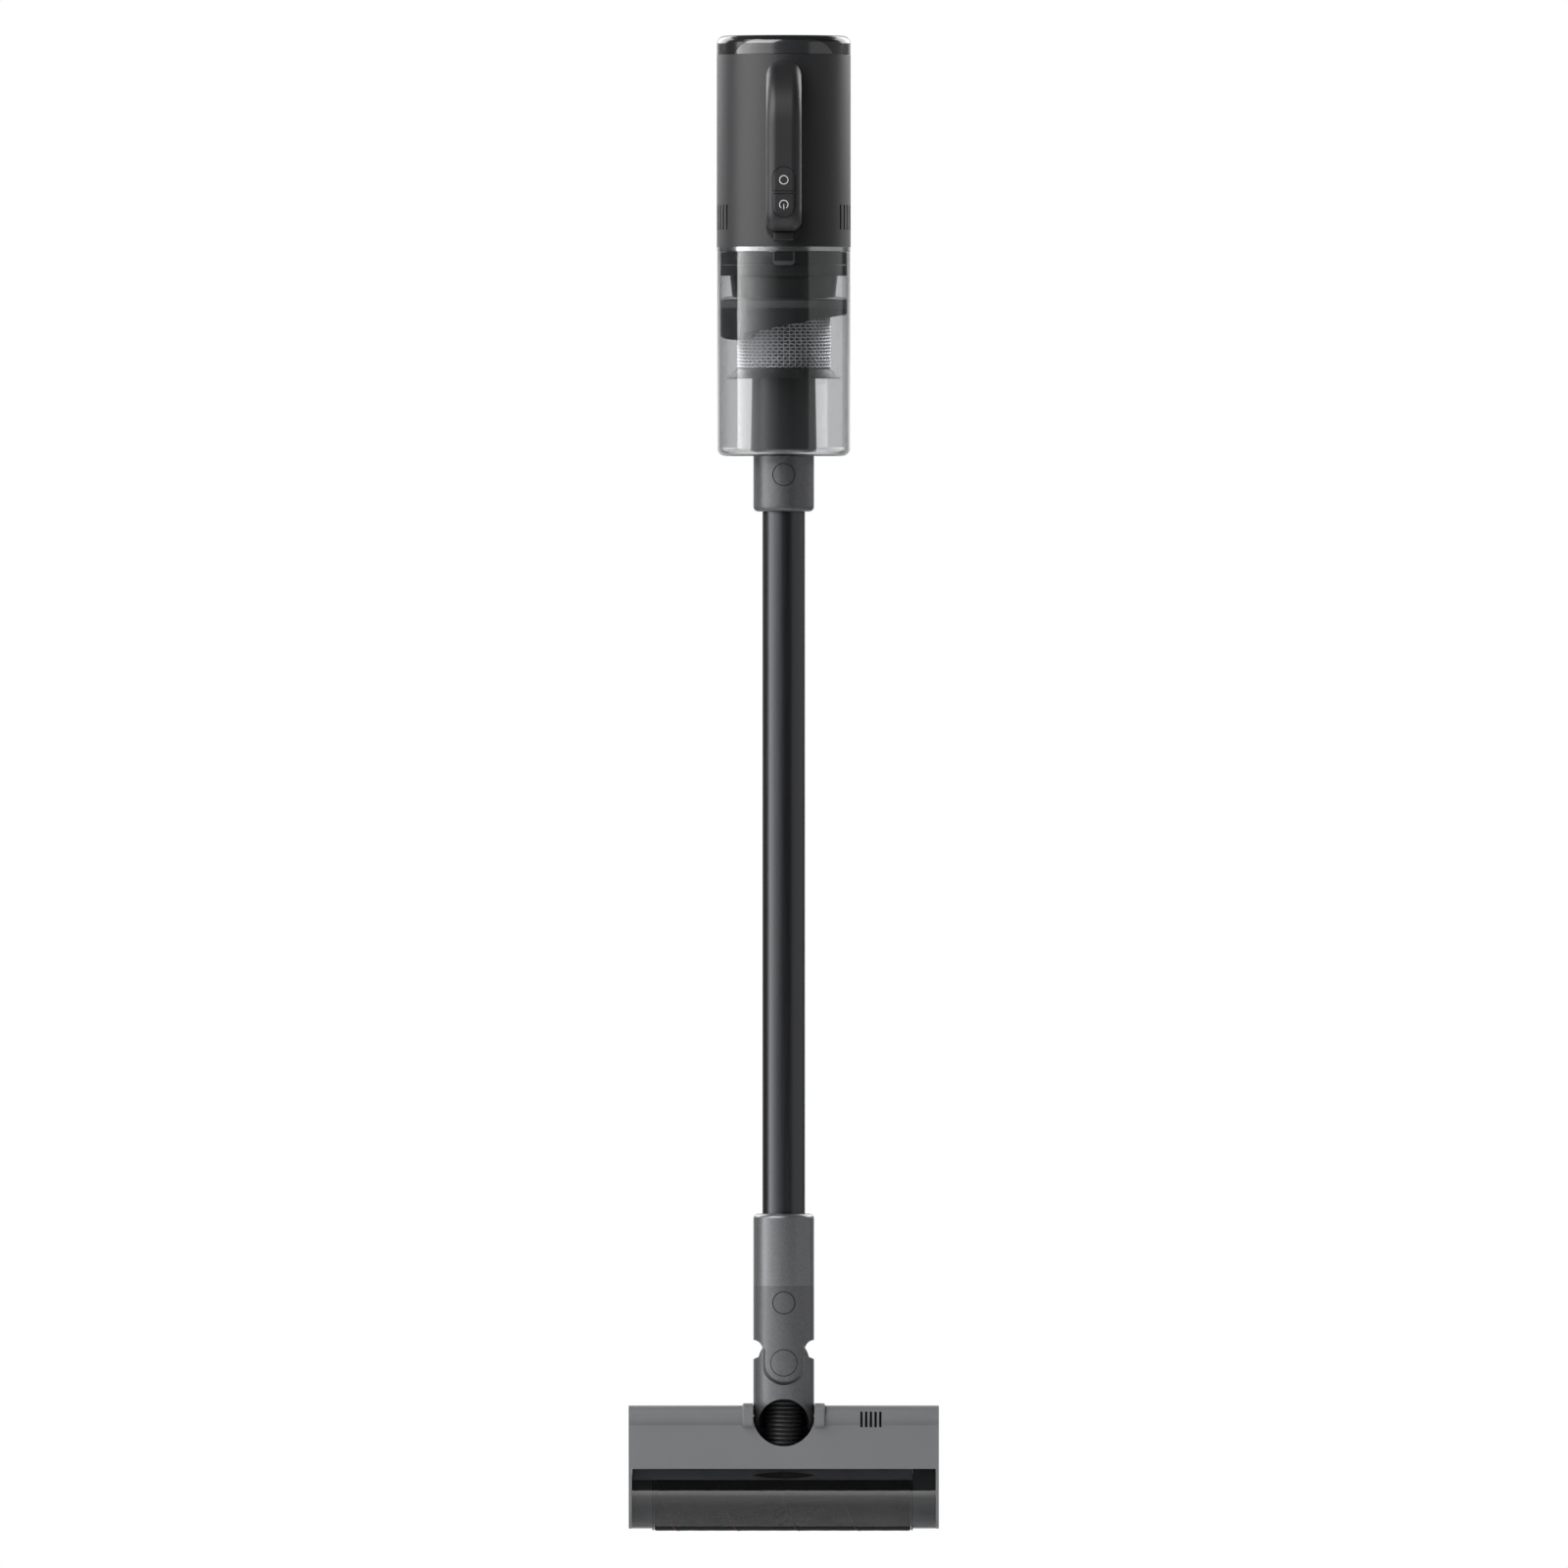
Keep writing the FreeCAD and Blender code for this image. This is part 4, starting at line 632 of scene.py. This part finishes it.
def hose():
    """A turned profile whose outer radius swings from root to crest as a raised cosine to the power 0.7, and
    whose inner one stands one wall inside it."""
    low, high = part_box("neck_hose")
    crest = high.x
    root = crest - 1.5 * mm
    wall = 0.8 * mm
    ribs = 15
    height = np.linspace(low.z, high.z, ribs * 10 + 1)
    wave = 0.5 - 0.5 * np.cos(2 * math.pi * ribs * (height - low.z) / (high.z - low.z))
    outside = root + (crest - root) * wave ** 0.7
    outline = np.concatenate([
        np.stack([outside, height], 1), np.stack([outside - wall, height], 1)[::-1],
    ])
    skin = piece("neck_hose_ribbed", [lathed(outline, axis, 72)], hose_tpe, 60)
    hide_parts("neck_hose")
    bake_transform(skin)


def neck_shade_liner():
    """Half a tube of black felt behind the hose, painted shade for the inside of the neck: a rectangle of
    radius and height turned over the rear half circle.
    """
    turn = np.linspace(0, math.pi, 49)[:, None]
    outer, inner = 20.4 * mm, 19.6 * mm
    radius = np.array([outer, outer, inner, inner])
    foot = pitch_z - 10 * mm
    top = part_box("neck_hose")[1].z - 0.5 * mm
    height = np.array([foot, top, top, foot]) + 0 * turn
    grid = np.stack([radius * np.cos(turn), axis[1] + radius * np.sin(turn), height], axis=-1)
    points, quads = closed_grid(grid, False, True)
    last = len(points) - 4
    ends = np.array([[0, 1, 2, 3], [last + 3, last + 2, last + 1, last]])
    liner = piece("neck_shade_liner", [(points, np.vstack([quads[:, ::-1], ends[:, ::-1]]))], painted_shade_felt)
    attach(liner, "neck_lower")


hose()
neck_shade_liner()


# ---- floor head ----
# The cover is grey ABS, matt from a textured mould, in one piece with its two ears. The rear wheels and the
# squeegee strip are black elastomer, and the roller's core is an aluminium tube.
head_abs = moulded("grey ABS, matt", "#68696b", "#6d6e70", (0.48, 0.56), 0.9, 0.014)
wheel_tpu = moulded("polyurethane elastomer", "#19191a", "#202021", (0.55, 0.70), 1.5, 0.02)
dress(head_abs, "head_top_cover", "roller_end_cap", "drive_cover")
dress(carrier_abs, "head_base", "motor_pulley")
dress(wheel_tpu, "rear_wheel_left", "rear_wheel_right", "squeegee_strip")
dress(cast_aluminium, "roller_core", "head_motor")
dress(zinc_steel, "cover_screws")
dress(mount_rubber, "drive_belt")


# ---- lip and felts in the head ----
# A pale ABS lip hangs over the roller behind the window. Black felt is painted shade in the head: a pad
# behind the five slots stands for the shade inside them, and a washer at each end of the roller stands for
# the shade in the gap there.
lip_abs = moulded("pale grey ABS, satin", "#b2b3b5", "#babbbd", (0.30, 0.40), 1.5, 0)
foot_z = cad_box[0][2]
window_low, window_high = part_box("roller_window")
brush_low, brush_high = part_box("roller_brush")
roller_y = (brush_low.y + brush_high.y) / 2
roller_z = (brush_low.z + brush_high.z) / 2
roller_radius = (brush_high.z - brush_low.z) / 2


def bevelled_block(name, corner, other, finish):
    """A block between two corners, its edges rounded to 0.6 mm."""
    low, high = np.minimum(corner, other), np.maximum(corner, other)
    flags = np.array([[0, 0, 0], [1, 0, 0], [1, 1, 0], [0, 1, 0], [0, 0, 1], [1, 0, 1], [1, 1, 1], [0, 1, 1]])
    points = np.where(flags, high, low)
    faces = np.array([[3, 2, 1, 0], [4, 5, 6, 7], [0, 1, 5, 4], [1, 2, 6, 5], [2, 3, 7, 6], [3, 0, 4, 7]])
    pad = piece(name, [(points, faces)], finish)
    bevel = pad.modifiers.new("bevel", "BEVEL")
    bevel.width, bevel.segments = 0.6 * mm, 3
    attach(pad, "floor_head")


def felt_washer(name, start, end):
    """A flat ring about the roller's axis: a rectangle of width along X and radius, turned full circle."""
    turn = np.linspace(0, 2 * math.pi, 96, endpoint=False)[:, None]
    inner, outer = 19.2 * mm, 22.9 * mm
    radius = np.array([inner, outer, outer, inner])
    x = np.array([start, start, end, end]) + 0 * turn
    grid = np.stack([x, roller_y + radius * np.cos(turn), roller_z + radius * np.sin(turn)], axis=-1)
    washer = piece(name, [closed_grid(grid, True, True)], painted_shade_felt)
    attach(washer, "floor_head")


def head_felts():
    """The vent pad lies behind all five slots, and the lip runs from the window's end to the drive cover."""
    first_slot_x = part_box("head_top_cover")[1].x - 62.4 * mm
    skin_y = window_low.y
    # Painted shade: a black pad behind the slots.
    bevelled_block(
        "vent_shade_felt", (first_slot_x - 2 * mm, skin_y - 2.2 * mm, foot_z + 83.5 * mm),
        (first_slot_x + 17.2 * mm, skin_y - 0.8 * mm, foot_z + 97.2 * mm), painted_shade_felt,
    )
    drive_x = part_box("drive_cover")[0].x
    bevelled_block(
        "chamber_lip", (window_low.x + 0.3 * mm, skin_y + 4.0 * mm, window_high.z - 8.9 * mm),
        (drive_x - 0.3 * mm, skin_y + 6.8 * mm, window_high.z + 2.8 * mm), lip_abs,
    )
    # Painted shade: a black washer in the gap at each end of the roller.
    felt_washer("left_end_shade_felt", brush_low.x - 1.5 * mm, brush_low.x - 0.35 * mm)
    felt_washer("right_end_shade_felt", brush_high.x + 0.35 * mm, drive_x - 0.05 * mm)


head_felts()


# ---- roller window and its clip ----
# A smoked polycarbonate window, creased along its length. A dark clip behind its upper edge holds it.
smoked_pc = clear_plastic("polycarbonate, smoked", "#8f9092", (0.02, 0.05), 25)
dress(smoked_pc, "roller_window")


def window_clip():
    """A bar whose outline is a lens: half height falls with the square of the place along it, down to a
    blunt tip."""
    count = 41
    along = np.linspace(-1, 1, count)
    half_width, half_height, blunt = 25 * mm, 2.5 * mm, 0.12 * mm
    z = window_high.z - 5.0 * mm
    back, front = window_low.y + 3.6 * mm, window_low.y + 2.4 * mm
    tall = half_height * (1 - along**2) + blunt
    rows = []
    for side, y in ((-1, back), (-1, front), (1, front), (1, back)):
        rows.append(np.stack([along * half_width, np.full(count, y), z + side * tall], 1))
    points, quads = closed_grid(np.stack(rows, 0), True, False)
    first = np.arange(4) * count
    ends = np.array([first, first[::-1] + count - 1])
    clip = piece("window_clip", [(points, np.vstack([quads, ends]))], skirt_abs)
    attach(clip, "floor_head")


window_clip()


# ---- brush roller ----
# Short nylon pile glued round the core, with one helical row of stiffer dark red bristles, a turn every
# 49 mm. The pile is combed one way, so it is nearly black with a soft sheen.
def brush_pile():
    """Tufts are cells 1.6 mm wide: each is lower towards its rim, and its colour darkens there as painted
    shade between the tufts.
    """
    finish, tree, shader, place = new_finish(
        "nylon pile", Sheen_Weight=0.04, Sheen_Roughness=0.5, Roughness=0.85, Specular_IOR_Level=0.1,
    )
    tufts = add(tree, "TexVoronoi", {"Vector": place, "Scale": 1 / (1.6 * mm)})
    # Painted shade: darker towards each tuft's rim.
    painted_gap_shade = add(tree, "MapRange", {"Value": tufts.outputs["Distance"], "From Max": 0.8})
    tree.links.new(two_tone(tree, painted_gap_shade.outputs["Result"], "#131314", "#060606"), shader.inputs["Base Color"])
    bump = add(tree, "Bump", {"Height": tufts.outputs["Distance"], "Distance": 0.3 * mm, "Strength": 0.5})
    bump.invert = True
    tree.links.new(bump.outputs["Normal"], shader.inputs["Normal"])
    return finish


bristle_red = moulded("nylon bristle, dark red", "#7a2226", "#93302f", (0.40, 0.55), 1.0, 0.01)


def roller_pile():
    """The pile's skin: a cylinder about X whose radius dips by fine waves along and around it, closed to the
    core at both ends."""
    sides = 180
    along = np.linspace(0, 1, 300)
    around = np.linspace(0, 2 * math.pi, sides, endpoint=False)
    x = brush_low.x + along[:, None] * (brush_high.x - brush_low.x)
    nap = np.sin(along[:, None] * 900 + 7 * np.sin(around * 5)) * np.sin(around * 61 + along[:, None] * 40)
    end = np.clip(np.minimum(along, 1 - along) / 0.008, 0, 1)[:, None]
    radius = roller_radius - 0.35 * mm + 0.15 * mm * nap - 1.2 * mm * (1 - end) ** 2
    core = np.full((1, sides), roller_radius - 6 * mm)
    radius = np.vstack([core, radius + 0 * around, core])
    x = np.vstack([x[:1], x, x[-1:]])
    grid = np.stack([
        x + 0 * around, roller_y + radius * np.cos(around), roller_z + radius * np.sin(around),
    ], axis=-1)
    pile = piece("roller_pile", [closed_grid(grid, True, True)], brush_pile(), 60)
    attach(pile, "roller")
    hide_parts("roller_brush")


def bristle_row():
    """Five lanes of bristle tufts, 0.8 mm apart, along a helix whose angle falls evenly with x. Each tuft is
    a four-sided spike: a square round its own place at the foot and a smaller one at the tip."""
    turn_length = 48.7 * mm
    zero_angle, zero_x = np.radians(56), -7.2 * mm
    margin = 1.5 * mm
    tuft_pitch = 0.9 * mm
    half_tuft = 0.22 * mm
    rng = np.random.default_rng(7)
    length = brush_high.x - brush_low.x - 2 * margin
    count = int(length / turn_length * 2 * math.pi * roller_radius / tuft_pitch)
    share = (np.arange(count) + 0.5) / count
    tufts = []
    for lane in (-1.6, -0.8, 0.0, 0.8, 1.6):
        x = brush_low.x + margin + share * length + (lane * mm + rng.normal(0, 0.15 * mm, count))
        helix = zero_angle - 2 * math.pi * (x - zero_x) / turn_length
        tufts.append(np.stack([x, helix + rng.normal(0, 0.01, count)], 1))
    x, helix = np.concatenate(tufts).T
    corners = np.array([[-1, -1], [1, -1], [1, 1], [-1, 1]]) * half_tuft
    foot_r, tip_r = roller_radius - 1.5 * mm, roller_radius - 0.02 * mm
    rows = []
    for radius, shrink in ((foot_r, 1.0), (tip_r, 0.55)):
        px = x[:, None] + corners[None, :, 0] * shrink
        pa = helix[:, None] + corners[None, :, 1] * shrink / roller_radius
        rows.append(np.stack([px, roller_y - radius * np.cos(pa), roller_z + radius * np.sin(pa)], -1))
    points = np.stack(rows, 1).reshape(-1, 3)
    box = np.array([[0, 1, 5, 4], [1, 2, 6, 5], [2, 3, 7, 6], [3, 0, 4, 7], [4, 5, 6, 7], [3, 2, 1, 0]])
    faces = (np.arange(len(x))[:, None, None] * 8 + box[None]).reshape(-1, 4)
    row = piece("bristle_row", [(points, faces)], bristle_red)
    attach(row, "roller")


roller_pile()
bristle_row()


# ---- floor, light and camera ----
# A pale seamless floor under the hanging machine, a tall soft light on each side, one above on the left, two
# behind, and a low strip in front of the head. The backdrop is white and lights the object mostly from
# behind, so that the clear cup's edges stay bright.
def stage_floor():
    """A round pale floor that fades out between half its radius and its rim."""
    finish, tree, shader, place = new_finish("painted floor", Roughness=0.9, Emission_Strength=0.02)
    shader.inputs["Emission Color"].default_value = (1, 1, 1, 1)
    drift = add(tree, "TexNoise", {"Vector": place, "Scale": 3.0})
    tree.links.new(two_tone(tree, drift.outputs["Fac"], "#d9d9da", "#dddddf"), shader.inputs["Base Color"])
    floor_radius = 3.0
    level = cad_box[0][2] - 0.6
    flat = add(tree, "VectorMath", {0: place, 1: (1, 1, 0)}, operation="MULTIPLY")
    far = add(tree, "VectorMath", {0: flat.outputs["Vector"]}, operation="LENGTH").outputs["Value"]
    fade = add(tree, "MapRange", {"Value": far, "From Min": floor_radius, "From Max": floor_radius / 2})
    tree.links.new(fade.outputs["Result"], shader.inputs["Alpha"])
    turn = np.linspace(0, 2 * math.pi, 64, endpoint=False)
    points = np.stack([floor_radius * np.cos(turn), floor_radius * np.sin(turn), level + 0 * turn], 1)
    ground = piece("floor", [(points, np.arange(64)[None])], finish)


def soft_light(name, place, aim, size, radiance, fade="", power=1.0):
    """A rectangular light at place that faces aim. With fade X its radiance falls from one upright side to
    nothing at the other, so that the left light is brightest far out to the left. With fade Y it falls from
    the top down. power bends that fall."""
    lamp = bpy.data.lights.new(name, "AREA")
    lamp.shape = "RECTANGLE"
    lamp.size, lamp.size_y = size
    lamp.energy = radiance * math.pi * size[0] * size[1]
    if fade:
        lamp.use_nodes = True
        tree = lamp.node_tree
        across = add(tree, "SeparateXYZ", {"Vector": add(tree, "NewGeometry").outputs["Parametric"]})
        start = 1.0 if fade == "X" else 0.0
        level = add(tree, "MapRange", {"Value": across.outputs[fade], "To Min": start, "To Max": 1.0 - start})
        fall = add(tree, "Math", {0: level.outputs["Result"], 1: power}, operation="POWER")
        tree.links.new(fall.outputs["Value"], tree.nodes["Emission"].inputs["Strength"])
    made = bpy.data.objects.new(name, lamp)
    direction = np.array(aim) - np.array(place)
    made.location = place
    made.rotation_euler = (
        math.atan2(math.hypot(direction[0], direction[1]), -direction[2]), 0,
        math.atan2(direction[1], direction[0]) - math.pi / 2,
    )
    bpy.context.scene.collection.objects.link(made)


def studio():
    """The side lights stand 3 m off, each at its angle from the user's side, and the strip 0.6 m before the
    head, below its level. The backdrop's level climbs with the direction's share of +Y, and is full where the
    camera sees it."""
    middle = (0.0, axis[1], (cad_box[0][2] + cad_box[1][2]) / 2)
    reach = 3.0
    for name, degrees, width, radiance, fade, power in (
        ("left_light", -42, 6.2, 5.2, "X", 2.8),
        ("right_light", 84, 5.0, 0.40, "", 1.0),
    ):
        turn = math.radians(degrees)
        place = (reach * math.sin(turn), middle[1] - reach * math.cos(turn), middle[2])
        soft_light(name, place, middle, (width, 3.0), radiance, fade, power)
    for name, across, along, rise, width, radiance in (
        ("upper_left_light", -1.3, -1.4, 0.9, 2.2, 5.0),
        ("rear_left_light", -1.9, 2.2, 1.0, 2.4, 5.0),
        ("rear_right_light", 1.9, 2.2, 1.0, 2.4, 5.0),
    ):
        place = (across, middle[1] + along, cad_box[1][2] + rise)
        soft_light(name, place, (0.0, middle[1], cad_box[1][2] - 0.3), (width, 1.8), radiance)
    strip = np.array([0.0, roller_y, foot_z + 33 * mm]) + (0.0, -0.6, -0.228)
    soft_light("head_light", strip, strip + (0.0, 1.0, 0.0), (0.9, 0.46), 3.4, "Y", 3.0)
    world = bpy.data.worlds.new("studio")
    bpy.context.scene.world = world
    world.use_nodes = True
    tree = world.node_tree
    backdrop = tree.nodes["Background"]
    backdrop.inputs["Color"].default_value = (1, 1, 1, 1)
    heading = add(tree, "SeparateXYZ", {"Vector": add(tree, "TexCoord").outputs["Generated"]})
    climb = {"From Min": 0.80, "From Max": 0.98, "To Min": 0.07, "To Max": 1.0}
    level = add(tree, "MapRange", {"Value": heading.outputs["Y"], **climb}).outputs["Result"]
    camera_ray = add(tree, "LightPath").outputs["Is Camera Ray"]
    strength = add(tree, "Math", {0: level, 1: camera_ray}, operation="MAXIMUM")
    tree.links.new(strength.outputs["Value"], backdrop.inputs["Strength"])


def camera():
    """A long lens, level with the object's middle, from far enough that its frame is 1.264 m wide there."""
    view = bpy.data.cameras.new("camera")
    view.lens = 1000
    view.sensor_width = 36
    frame_width = 1.264
    middle_x, middle_z = 0.0002, -0.5076
    distance = frame_width * view.lens / view.sensor_width
    made = bpy.data.objects.new("camera", view)
    made.location = (middle_x, axis[1] - distance, middle_z)
    made.rotation_euler = (math.radians(90), 0, 0)
    bpy.context.scene.collection.objects.link(made)
    bpy.context.scene.camera = made


stage_floor()
studio()
camera()
bpy.context.scene.view_settings.view_transform = "Standard"
